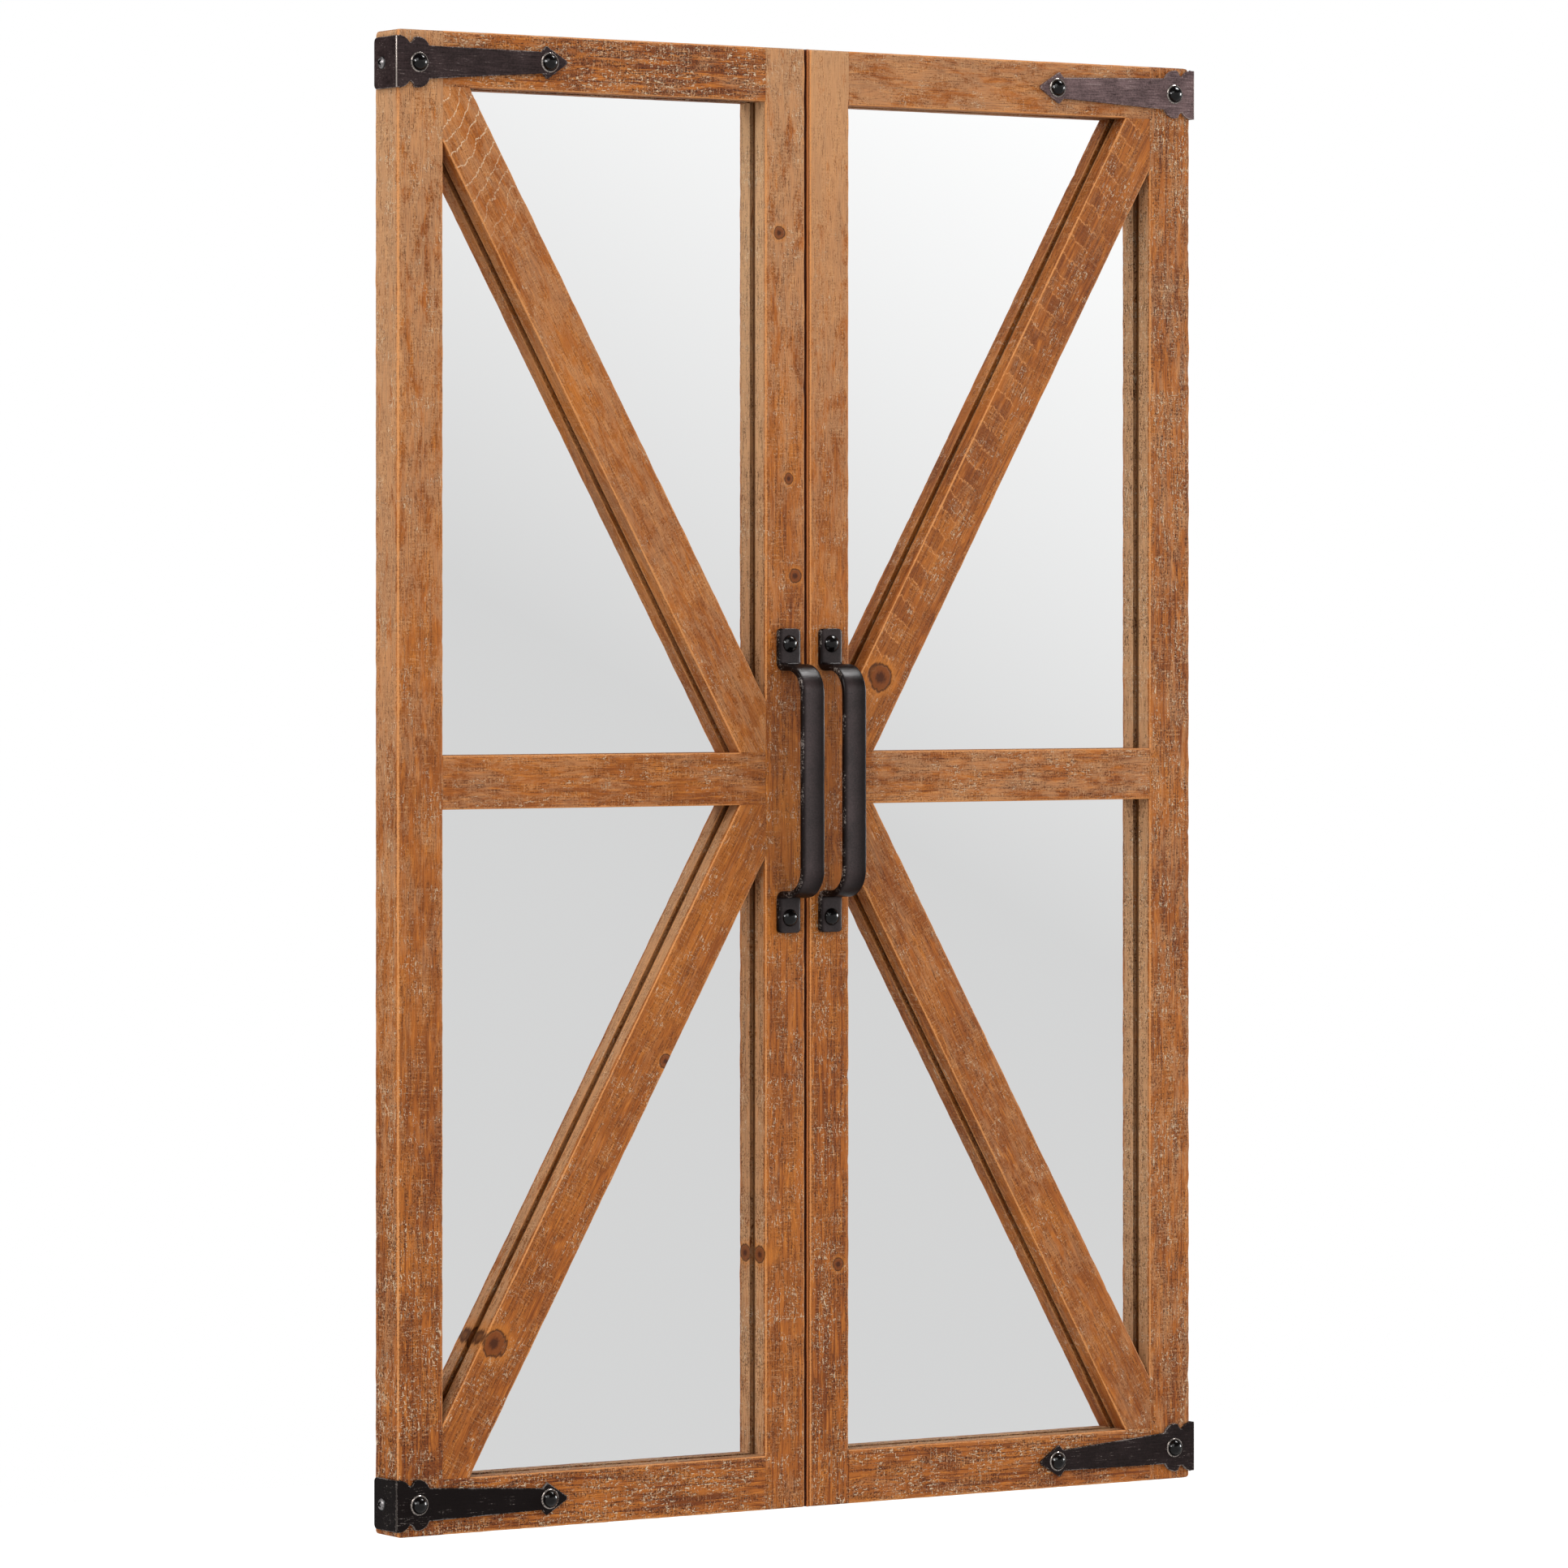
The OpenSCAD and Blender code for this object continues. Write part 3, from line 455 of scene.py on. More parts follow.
def screw_iron():
    """The pan heads: grey on top, with painted shade in their crosses and round their rims."""
    shader = material("screw_iron")
    lump = shader.noise(shader.place(), (0.7, 0.7, 0.7), 4, 0.65)
    across, along, rise = [axis.math("ABSOLUTE") for axis in shader.split(shader.attribute("head"))]
    arms = [wide.step(0.5, 0.7) + long.step(1.8, 2.1) for wide, long in ((across, along), (along, across))]
    # the grey of the head, outside its cross and away from its rim; the rest takes the painted shade
    top = arms[0].at_most(arms[1]).at_most() * rise.step(0.3, 0.8)
    base = shader.mix(top * lump.step(0.3, 0.6), (0.004, 0.003, 0.003), (0.27, 0.25, 0.25))
    return principled(shader, {
        "Base Color": base,
        "Metallic": top * 0.5,
        "Roughness": 0.3 + lump * 0.1,
        "Normal": shader.bump(lump, 0.2, 0.6),
    })


def mirror_glass():
    """Silvered glass: a clean reflection with a trace of cool grey."""
    shader = material("mirror_glass")
    at = shader.place()
    haze = shader.noise(at, (0.004, 0.004, 0.004), 2, 0.5)
    base = shader.mix(haze, (0.945, 0.95, 0.95), (0.955, 0.958, 0.958))
    return principled(shader, {"Base Color": base, "Metallic": 1.0, "Roughness": 0.008})


def flecked(name, dark, pale, per_mm, rough, depth, metallic=0.0):
    """A plain finish whose colour, sheen and surface vary with one noise."""
    shader = material(name)
    lump = shader.noise(shader.place(), per_mm, 4, 0.65)
    return principled(shader, {
        "Base Color": shader.mix(lump.step(0.3, 0.7), dark, pale),
        "Metallic": metallic,
        "Roughness": rough + (lump - 0.5) * 0.2,
        "Normal": shader.bump(lump, depth, 0.6),
    })


def to_mesh(bm, name):
    """The mesh of a bmesh, which is used up."""
    mesh = bpy.data.meshes.new(name)
    bm.to_mesh(mesh)
    bm.free()
    return mesh


def add(name, data):
    """Adds an object to the scene."""
    obj = bpy.data.objects.new(name, data)
    bpy.context.scene.collection.objects.link(obj)
    return obj


def piece(name, mesh, node, made):
    """Adds a piece, already in its place, that replaces a node of the frame."""
    mesh.name = name
    mesh.shade_smooth()
    mesh.set_sharp_from_angle(angle=SMOOTH_BELOW)
    mesh.materials.clear()
    mesh.materials.append(made)
    obj = add(name, mesh)
    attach(obj, BODY)
    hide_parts(node)


def paint_points(mesh, name, value_at):
    """Writes at each point of a mesh the three values that value_at gives for its place."""
    layer = mesh.attributes.new(name, "FLOAT_VECTOR", "POINT")
    for vert in mesh.vertices:
        layer.data[vert.index].vector = value_at(vert.co)


def clamp(value):
    return min(1.0, max(0.0, value))


def move(bm, by):
    bmesh.ops.translate(bm, verts=bm.verts[:], vec=by)


def weld(bm):
    bmesh.ops.remove_doubles(bm, verts=bm.verts[:], dist=TINY)


def face_out(bm):
    bmesh.ops.recalc_face_normals(bm, faces=bm.faces[:])


def rim_of(bm):
    """The edges round the holes of a surface."""
    return [edge for edge in bm.edges if edge.is_boundary]


def ease(bm, geom, offset, segments, affect="EDGES"):
    bmesh.ops.bevel(bm, geom=geom, offset=offset, offset_type="OFFSET", segments=segments, profile=0.5,
                    affect=affect, material=-1)


def sweep(bm, geom, turn=0.0, centre=(0, 0, 0), axis=(1, 0, 0), by=(0, 0, 0), steps=1):
    """Draws an outline on, straight or round a bend, and returns its last copy."""
    made = bmesh.ops.spin(bm, geom=geom, cent=centre, axis=axis, dvec=by, angle=turn, steps=steps,
                          use_duplicate=False)
    return made["geom_last"]


def close_ends(bm):
    """Fills the holes of a surface and turns its faces outward."""
    bmesh.ops.edgeloop_fill(bm, edges=rim_of(bm))
    face_out(bm)


def rounding(radius, reach):
    """How far inside a rounded corner lies, at this reach from where the piece ends."""
    return radius - math.sqrt(radius ** 2 - (radius - reach) ** 2)


def section_outline(bm, width, depth, radii, columns, segments=4):
    """A board's section as a loop of edges, from (0, 0) to (width, depth), with rounded corners."""
    bmesh.ops.create_grid(bm, x_segments=1, y_segments=1, size=0.5)
    move(bm, (0.5, 0.5, 0))
    bmesh.ops.scale(bm, verts=bm.verts[:], vec=(width, depth, 1))
    corners = [(0, 0), (width, 0), (0, depth), (width, depth)]
    for corner, radius in zip(corners, radii):
        at = [vert for vert in bm.verts if (vert.co.xy - Vector(corner)).length < TINY]
        ease(bm, at, radius, segments, "VERTICES")
    bmesh.ops.delete(bm, geom=bm.faces[:], context="FACES_ONLY")
    for axis, places in enumerate(columns):
        normal = Vector((1, 0, 0)) if axis == 0 else Vector((0, 1, 0))
        for at in places:
            bmesh.ops.bisect_plane(bm, geom=bm.verts[:] + bm.edges[:], plane_co=normal * at, plane_no=normal)


class Board:
    """A piece of wood in its own coordinates: x across, y back from its front and z along.

    arrises gives, for each of the four long edges (front low x, front high x, back low x, back high x),
    its radius and the stretches of z along which it shows. corner is the side, low or high x, that
    lies at the frame's rounded corners.
    """

    def __init__(self, node, place, size, arrises, corner=""):
        self.number = 1 + list(KINDS).index(node)
        self.node = node
        self.place = place
        self.width, self.depth, self.run = size
        self.arrises = arrises
        self.corner = corner
        self.eased = node.endswith("stile")
        self.film, self.smooth, self.red, self.chatter, self.filmed_lit_side = KINDS[node]
        self.knots = KNOTS.get(node, ())

    def corners(self):
        spots = ((0, 0), (self.width, 0), (0, self.depth), (self.width, self.depth))
        return zip(spots, self.arrises)

    def shown(self, stretches, z):
        """1 where an arris shows, fading to 0 where another board butts against it."""
        return max(clamp(min(z - low, high - z) / (3 * MM) + 1.0) for low, high in stretches)

    def rough(self, x, y, z):
        """Smooth random height at a point of this board, from about -1 to 1."""
        return noise.noise(Vector((x, y + 0.31 * self.number, z + 1.7 * self.number)) * 1000.0)

    def rows(self, step):
        """Places along z for the rows of points, closer together near the ends."""
        near = [0.0, 0.3, 0.7, 1.2, 1.9, 2.7, 3.6]
        first = near[-1] * MM
        count = max(2, round((self.run - 2 * first) / step))
        middle = [first + (self.run - 2 * first) * i / count for i in range(1, count)]
        return [n * MM for n in near] + middle + [self.run - n * MM for n in reversed(near)]

    def blank(self, look):
        """The board before joints are cut, with worn edges and slightly uneven faces."""
        bm = bmesh.new()
        reach = 3.2 * MM
        across = [reach, self.width - reach] + [self.width * i / 6 for i in range(1, 6)]
        deep = [reach, self.depth / 2, self.depth - reach]
        section_outline(bm, self.width, self.depth, [radius for radius, _ in self.arrises], (across, deep))
        places = self.rows(look.row_step)
        sweep(bm, bm.verts[:] + bm.edges[:], by=(0, 0, 1), steps=len(places) - 1)
        close_ends(bm)
        for vert in bm.verts:
            vert.co = self.worn_point(vert.co, places, look)
        weld(bm)
        return bm

    def worn_point(self, point, places, look):
        x, y, z = point.x, point.y, places[round(point.z)]
        for (corner_x, corner_y), (radius, stretches) in self.corners():
            if abs(x - corner_x) <= radius * 1.01 and abs(y - corner_y) <= radius * 1.01:
                ripple = self.rough(corner_x * 40, corner_y, z * 0.07)
                ripple += 0.6 * self.rough(0, corner_x, z * 0.17)
                dent = max(0.0, self.rough(corner_x, 0.4, z * 0.12) - 0.42) * 3.0
                limit = 3.0 * MM / radius
                size = min(limit, max(0.35, 1 + look.edge_wear * ripple + dent)) if radius > 0.4 * MM else 1
                size *= 0.12 + 0.88 * self.shown(stretches, z)
                x = corner_x + (x - corner_x) * size
                y = corner_y + (y - corner_y) * size
        wave = look.wave * (self.rough(x * 0.03, 0.1, z * 0.014) + 0.5 * self.rough(x * 0.12, 0.2, z * 0.06))
        side = look.wave * 0.8 * self.rough(0.7, y * 0.03, z * 0.012)
        back = 1 - y / self.depth
        y += wave * back
        x += side * (1 - 2 * x / self.width) * 0.5
        near_end = min(z, self.run - z)
        if self.corner and near_end < look.corner:
            inset = rounding(look.corner, near_end)
            x *= 1 - inset / self.width
            x += inset if self.corner == "low" else 0
        if self.eased and near_end < look.outer_arris:
            y += rounding(look.outer_arris, near_end) * back
        return Vector((x, y, z))

    def paint(self, mesh):
        """Writes, at each point, its place on the board, its wear and film, its character and its knot."""
        back = self.place.inverted()
        for name in ("board", "finish", "character", "knot"):
            value_at = getattr(self, name + "_at")
            paint_points(mesh, name, lambda point: value_at(back @ point))

    def board_at(self, local):
        """The place in millimetres, moved so that no two boards have the same grain."""
        return ((local.x - self.width / 2) / MM + 71 * self.number, local.y / MM,
                local.z / MM + 1300 * self.number)

    def character_at(self, local):
        return self.along(self.smooth, local.z), self.red, self.skip_at(local)

    def along(self, values, z):
        """The value at z, where values are spread evenly over the length of the board."""
        place = clamp(z / self.run) * (len(values) - 1)
        first = min(int(place), len(values) - 2)
        return values[first] + (values[first + 1] - values[first]) * (place - first)

    def skip_at(self, local):
        """Above 0, the blocks where a saw skipped, on one half of the board; below 0, arcs near its end."""
        if local.y > 1.2 * MM:
            return 0.0
        if self.chatter > 0:
            return self.chatter * clamp((local.x / self.width - 0.38) * 3)
        return self.chatter * clamp(1.9 - local.z / (75 * MM))

    def finish_at(self, local):
        worn = 0.0
        for (corner_x, corner_y), (radius, stretches) in self.corners():
            lean = abs(abs(local.x - corner_x) - abs(local.y - corner_y))
            near = max(abs(local.x - corner_x), abs(local.y - corner_y)) < 4 * MM
            worn = max(worn, near * self.shown(stretches, local.z) * max(0.0, 1 - lean / (radius + 1.2 * MM)))
        # the side wall that faces the light, up or to the left, takes extra pale film, partly painted light
        low = "low" in self.filmed_lit_side and local.x < 0.6 * MM
        high = "high" in self.filmed_lit_side and local.x > self.width - 0.6 * MM
        film = self.along(self.film, local.z)
        if (low or high) and local.y > 2 * MM:
            film += 0.3 if self.corner == "low" else 0.85
        end = 1.0 if min(local.z, self.run - local.z) < 0.1 * MM else 0.0
        return worn, film, end

    def knot_at(self, local):
        best = (9.0, 9.0, 0.0)
        for across, along, radius, side in self.knots:
            from_x = (local.x if side == "front" else local.y) / MM - across
            from_z = local.z / MM - along
            reach = math.hypot(from_x, from_z) / radius
            deep = side == "front" or local.x < self.width * 0.4
            if deep and reach < math.hypot(*best[:2]):
                best = (from_x / radius, from_z / radius, 1.0 if reach < 4.5 else 0.0)
        return best


def cutter(low, high):
    """A plain block that is used up in cutting joints."""
    bm = bmesh.new()
    bmesh.ops.create_cube(bm, size=1.0)
    bmesh.ops.scale(bm, verts=bm.verts[:], vec=high - low)
    move(bm, (high + low) / 2)
    return add("cutter", to_mesh(bm, "cutter"))


def cut_joints(mesh):
    """The mesh with the pockets for the panes and the recess for the backing board cut into it."""
    clear, past = 0.5 * MM, 10 * MM
    blank = add("blank", mesh)
    used = [blank]
    for node in ("left_mirror_pane", "right_mirror_pane", "backing_board"):
        low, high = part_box(node)
        front = low.y if node == "backing_board" else POCKET_Y
        used.append(cutter(Vector((low.x - clear, front, low.z - clear)),
                           Vector((high.x + clear, BACK_Y + past, high.z + clear))))
        taken = blank.modifiers.new("cut", "BOOLEAN")
        taken.operation = "DIFFERENCE"
        taken.solver = "EXACT"
        taken.object = used[-1]
    bpy.context.view_layer.update()
    graph = bpy.context.evaluated_depsgraph_get()
    made = bpy.data.meshes.new_from_object(blank.evaluated_get(graph))
    for obj in used:
        bpy.data.objects.remove(obj)
    return made


MATERIALS = {}


def shared(maker, look):
    """A material that several operators use, made once."""
    if maker not in MATERIALS:
        MATERIALS[maker] = maker(look)
    return MATERIALS[maker]


def make_board(board, look, jointed=True, trim=None):
    """Makes one board in its place, with its joints cut, and paints its points."""
    bm = board.blank(look)
    bmesh.ops.transform(bm, matrix=board.place, verts=bm.verts[:])
    if trim:
        trim(bm)
    face_out(bm)
    mesh = to_mesh(bm, board.node)
    if jointed:
        mesh = cut_joints(mesh)
    board.paint(mesh)
    piece("worn_" + board.node, mesh, board.node, shared(stained_pine, look))


def level(node):
    """Place of a board that lies along X, with its x running down."""
    low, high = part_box(node)
    turned = Matrix(((0, 0, 1), (0, 1, 0), (-1, 0, 0))).to_4x4()
    return Matrix.Translation((low.x, low.y, high.z)) @ turned


def box_size(node):
    low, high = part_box(node)
    return high - low


def brace_feet(look):
    """How far a brace's cut end reaches along a rail and along a stile."""
    size = box_size("left_lower_brace")
    slope = math.atan2(size.z, size.x)
    return look.brace_w / 2 / math.sin(slope), look.brace_w / 2 / math.cos(slope)


# For each board: the pale film and the smoothness, spread from its low to its high end, how red it is,
# its saw skips (below 0: arcs) and the side wall, facing up or to the left, whose extra film is partly
# painted light. The order sets the random draws.
KINDS = {
    "left_outer_stile": ((0.05, 0.4, 0.9), (-0.6, 0.0, 0.2, 0.0), 0.6, 0.0, "low"),
    "right_outer_stile": ((0.5, 0.5, 0.6), (-0.2, -0.4), 0.0, 0.0, "low"),
    "left_centre_stile": ((0.3, 0.1, 1.0), (-0.2, 0.1), 0.0, 0.0, "low"),
    "right_centre_stile": ((0.05, 0.1, 1.1), (-0.5, 0.5), 0.3, 0.0, ""),
    "left_top_rail": ((0.5, 0.5), (-0.1, -0.7, -0.6), 0.0, 0.0, ""),
    "left_bottom_rail": ((0.25, 0.25), (-0.9, -0.5), 0.2, 0.0, "low"),
    "left_middle_rail": ((0.45, 0.35), (0.1, 0.05), 1.0, 0.0, ""),
    "right_top_rail": ((0.7, 0.6), (0.2, 0.0), 0.5, 0.0, ""),
    "right_bottom_rail": ((0.3, 0.4), (-0.5, -0.5), 0.0, 0.0, "low"),
    "right_middle_rail": ((0.6, 0.6), (0.0, -0.1), 0.4, 0.0, ""),
    "left_upper_brace": ((0.45, 0.4), (0.4, 0.3), 1.2, -0.8, "low"),
    "left_lower_brace": ((0.1, 0.2), (-0.1, 0.15), 0.8, 0.0, "low"),
    "right_upper_brace": ((0.2, 0.2), (0.0, 0.1), 0.6, 1.0, ""),
    "right_lower_brace": ((0.35, 0.35), (0.15, 0.1), 1.2, 0.0, "high"),
}

# The knots of a board in millimetres: place across, place along, radius, and the front or the low side.
KNOTS = {
    "left_centre_stile": ((9.5, 754.6, 4.0, "front"), (16.2, 609.3, 3.6, "front"),
                          (20.8, 551.7, 4.4, "front"), (6.5, 150.4, 5.6, "low")),
    "right_centre_stile": ((20.0, 142.8, 4.2, "front"),),
    "right_upper_brace": ((17.7, 424.7, 8.5, "front"),),
    "left_lower_brace": ((7.5, 114.0, 8.5, "front"), (29.5, 309.9, 4.8, "front")),
}


def aim(obj, toward):
    obj.rotation_mode = "QUATERNION"
    obj.rotation_quaternion = toward.to_track_quat("-Z", "Y")


# What the mirror shows: its screen tone low down, the direction in which that tone rises, where the
# rise starts and how fast it is, and the share of the light that the silvering gives back.
MIRRORED = 212
RISES_TOWARD = (0.496, 0.320, 1.0)
RISE_START = 0.0198
RISE_RATE = 3.05
SILVERING = 0.95


class SHUTTER_OT_stage(bpy.types.Operator):
    """Set up the camera, the floor, the lamps and the surroundings"""

    bl_idname = "shutter.stage"
    bl_label = "Stage"

    def execute(self, context):
        stage = context.scene.mirror_stage
        scene = context.scene
        scene.view_settings.view_transform = "Standard"

        lens = bpy.data.cameras.new("camera")
        lens.lens = stage.lens
        lens.sensor_width = 36.0
        lens.shift_y = stage.shift
        lens.clip_end = 100.0
        camera = add("camera", lens)
        camera.location = stage.camera_at
        aim(camera, Vector((math.sin(stage.azimuth), math.cos(stage.azimuth), 0)))
        scene.camera = camera

        self.floor(stage)
        self.lamp("key_lamp", stage.key, 2.6, (-3.4, -2.6, 2.6))
        glints = (("left_glint", (-3.9, -0.5, 1.3)), ("right_glint", (4.0, -1.2, 0.2)),
                  ("top_glint", (2.1, -0.3, 3.3)))
        for name, at in glints:
            self.lamp(name, stage.glint, 1.1, at).visible_diffuse = False
        self.lamp("back_lamp", stage.fill, 3.0, (1.6, 4.2, 2.2))
        self.surroundings(scene, stage)
        return {"FINISHED"}

    def floor(self, stage):
        bm = bmesh.new()
        bmesh.ops.create_grid(bm, x_segments=4, y_segments=4, size=stage.floor_size / 2)
        move(bm, (0, 0, stage.floor_z))
        obj = add("floor", to_mesh(bm, "floor"))
        shader = material("pale_floor")
        matt = shader.node("ShaderNodeBsdfDiffuse", None, {"Color": (0.7, 0.7, 0.7)})
        camera, glossy, through = shader.rays("Camera", "Glossy", "Transmission")
        seen = camera * 1.3 + glossy * lit(MIRRORED) + through
        glow = shader.node("ShaderNodeEmission", None, {"Strength": seen})
        share = (camera * 0.8 + glossy + through).at_most()
        shader.output("ShaderNodeOutputMaterial",
                      shader.node("ShaderNodeMixShader", None, {0: share, 1: matt, 2: glow}))
        obj.data.materials.append(shader.made)

    def lamp(self, name, watts, size, at):
        light = bpy.data.lights.new(name, "AREA")
        light.energy = watts
        light.size = size
        obj = add(name, light)
        obj.location = at
        aim(obj, Vector((0, 0, -0.3)) - Vector(at))
        return obj

    def surroundings(self, scene, stage):
        """White behind the object, even light on it, and a large pale panel for the mirror to show."""
        world = bpy.data.worlds.new("studio")
        world.use_nodes = True
        scene.world = world
        shader = Shader(world.node_tree)
        toward = shader.node("ShaderNodeTexCoord", None, None, 0)
        rise = shader.node("ShaderNodeVectorMath", {"operation": "DOT_PRODUCT"},
                           {0: toward, 1: RISES_TOWARD}, 1)
        panel = (lit(MIRRORED) + (rise + RISE_START).at_least() * RISE_RATE).at_most() * (1 / SILVERING)
        north, up = shader.split(toward)[1:]
        wall = (0 - north).step(-0.05, 0.25) * up.math("ABSOLUTE").fall(0.28, 0.5)
        panel = panel * wall + (1 - wall) * 0.06
        camera, glossy = shader.rays("Camera", "Glossy")
        strength = camera + glossy * panel + (1 - camera - glossy) * (1 + up * stage.overhead) * stage.ambient
        shader.output("ShaderNodeOutputWorld",
                      shader.node("ShaderNodeBackground", None, {"Color": (1, 1, 1), "Strength": strength}))


# For each plain finish: its dark and its pale colour, lumps to a millimetre, roughness, depth of the
# surface's lumps in millimetres, and how metallic it is.
FINISHES = {
    # the bedding tape's dark brown is partly painted shade, for the narrow gap in which it shows
    "bedding_tape": ((0.13, 0.048, 0.006), (0.22, 0.08, 0.01), (0.8, 0.8, 0.8), 0.8, 0.3),
    "hardboard": ((0.17, 0.095, 0.05), (0.27, 0.16, 0.09), (0.35, 0.35, 0.35), 0.55, 0.25),
    "beech_dowel": ((0.52, 0.36, 0.2), (0.68, 0.5, 0.31), (0.2, 2.0, 2.0), 0.6, 0.2),
    "zinc_steel": ((0.5, 0.51, 0.53), (0.68, 0.69, 0.7), (0.5, 0.5, 0.5), 0.34, 0.08, 0.9),
    "grey_rubber": ((0.09, 0.09, 0.095), (0.15, 0.15, 0.155), (0.6, 0.6, 0.6), 0.75, 0.2),
}


class SHUTTER_OT_hidden(bpy.types.Operator):
    """Finish the mirror panes, the backing, the hangers and the other parts kept from the frame"""

    bl_idname = "shutter.hidden"
    bl_label = "Panes, backing and hangers"

    def execute(self, context):
        finishes = {name: flecked(name, *values) for name, values in FINISHES.items()}
        finishes["mirror_glass"] = mirror_glass()
        finishes["black_iron"] = screw_iron()
        self.paint_heads("hinge_side_screws")
        slots = {row["node"]: row["material_slot"] for row in frame["record"]["subparts"]}
        for node, obj in frame["nodes"].items():
            if slots[node] in finishes:
                obj.data.materials.clear()
                obj.data.materials.append(finishes[slots[node]])
        return {"FINISHED"}

    def paint_heads(self, node):
        """Writes at each point of the side screws its place along the arms of its cross and its height."""
        heads = [(low + high) / 2 for low, high in islands(node)]
        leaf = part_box("top_left_strap_hinge")[0].x
        turn = math.sqrt(0.5)

        def place(point):
            off = min((point - head for head in heads), key=lambda way: way.length)
            rise = max(0.0, abs(point.x) + leaf)
            return Vector(((off.y + off.z) * turn, (off.y - off.z) * turn, rise)) / MM

        paint_points(frame["nodes"][node].data, "head", place)


def swapped(arrises):
    """The arrises of a board's mirror image."""
    return [arrises[index] for index in (1, 0, 3, 2)]


class SHUTTER_OT_stiles(bpy.types.Operator):
    """Make the two outer stiles and the two centre stiles"""

    bl_idname = "shutter.stiles"
    bl_label = "Stiles"

    def execute(self, context):
        look = context.scene.mirror_wood
        low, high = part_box("left_outer_stile")
        rail = box_size("left_top_rail").z
        rail_low, rail_high = (corner.z - low.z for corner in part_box("left_middle_rail"))
        run = high.z - low.z
        foot = brace_feet(look)[1]
        whole = [(-1, run + 1)]
        free = [(rail + foot, rail_low), (rail_high, run - rail - foot)]
        inside = [(rail, rail_low - foot), (rail_high + foot, run - rail)]
        outer, inner = look.outer_arris, look.inner_arris
        for node, front, back, shows, corner in (
            ("left_outer_stile", outer, inner, free, "low"),
            ("right_outer_stile", outer, inner, free, "high"),
            ("left_centre_stile", inner, SQUARE, inside, ""),
            ("right_centre_stile", inner, SQUARE, inside, ""),
        ):
            arrises = [(front, whole), (inner, shows), (back, whole), (SQUARE, shows)]
            if node in ("right_outer_stile", "left_centre_stile"):
                arrises = swapped(arrises)
            place = Matrix.Translation(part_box(node)[0])
            make_board(Board(node, place, box_size(node), arrises, corner), look)
        return {"FINISHED"}


class SHUTTER_OT_rails(bpy.types.Operator):
    """Make the top, bottom and middle rails"""

    bl_idname = "shutter.rails"
    bl_label = "Rails"

    def execute(self, context):
        look = context.scene.mirror_wood
        outer, inner = look.outer_arris, look.inner_arris
        whole = [(-1, 1)]
        run = box_size("left_top_rail").x
        foot = brace_feet(look)[0]
        for side in ("left", "right"):
            outside, inside = [(foot, run + 1)], [(-1, run - foot)]
            if side == "right":
                outside, inside = inside, outside
            top = [(outer, whole), (inner, outside), (inner, whole), (SQUARE, outside)]
            middle = [(inner, inside), (inner, inside), (SQUARE, inside), (SQUARE, inside)]
            for kind, arrises in (("top", top), ("bottom", swapped(top)), ("middle", middle)):
                node = f"{side}_{kind}_rail"
                low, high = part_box(node)
                size = (high.z - low.z, high.y - low.y, high.x - low.x)
                make_board(Board(node, level(node), size, arrises), look, kind != "middle")
        return {"FINISHED"}


class SHUTTER_OT_braces(bpy.types.Operator):
    """Make the four diagonal braces"""

    bl_idname = "shutter.braces"
    bl_label = "Braces"

    def execute(self, context):
        for side in ("left", "right"):
            for height in ("upper", "lower"):
                self.brace(side, height, context.scene.mirror_wood)
        return {"FINISHED"}

    def brace(self, side, height, look):
        node = f"{side}_{height}_brace"
        low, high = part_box(node)
        outer_x, inner_x = (low.x, high.x) if side == "left" else (high.x, low.x)
        outer_z, inner_z = (high.z, low.z) if height == "upper" else (low.z, high.z)
        start = Vector((outer_x, FRONT_Y, outer_z))
        end = Vector((inner_x, FRONT_Y, inner_z))
        along = (end - start).normalized()
        across = Vector((0, 1, 0)).cross(along)
        past = look.brace_w
        origin = start - along * past - across * look.brace_w / 2
        turned = Matrix((across, (0, 1, 0), along)).transposed().to_4x4()
        place = Matrix.Translation(origin) @ turned
        run = (end - start).length + 2 * past
        shows = [(past, run - past)]
        arrises = [(radius, shows) for radius in (look.inner_arris, look.inner_arris, SQUARE, SQUARE)]
        board = Board(node, place, (look.brace_w, high.y - low.y, run), arrises)

        def trim(bm):
            for point, normal in ((low, (-1, 0, 0)), (low, (0, 0, -1)), (high, (1, 0, 0)), (high, (0, 0, 1))):
                bmesh.ops.bisect_plane(bm, geom=bm.verts[:] + bm.edges[:] + bm.faces[:], plane_co=point,
                                       plane_no=normal, clear_outer=True)
                if rim_of(bm):
                    bmesh.ops.edgeloop_fill(bm, edges=rim_of(bm))

        make_board(board, look, False, trim)


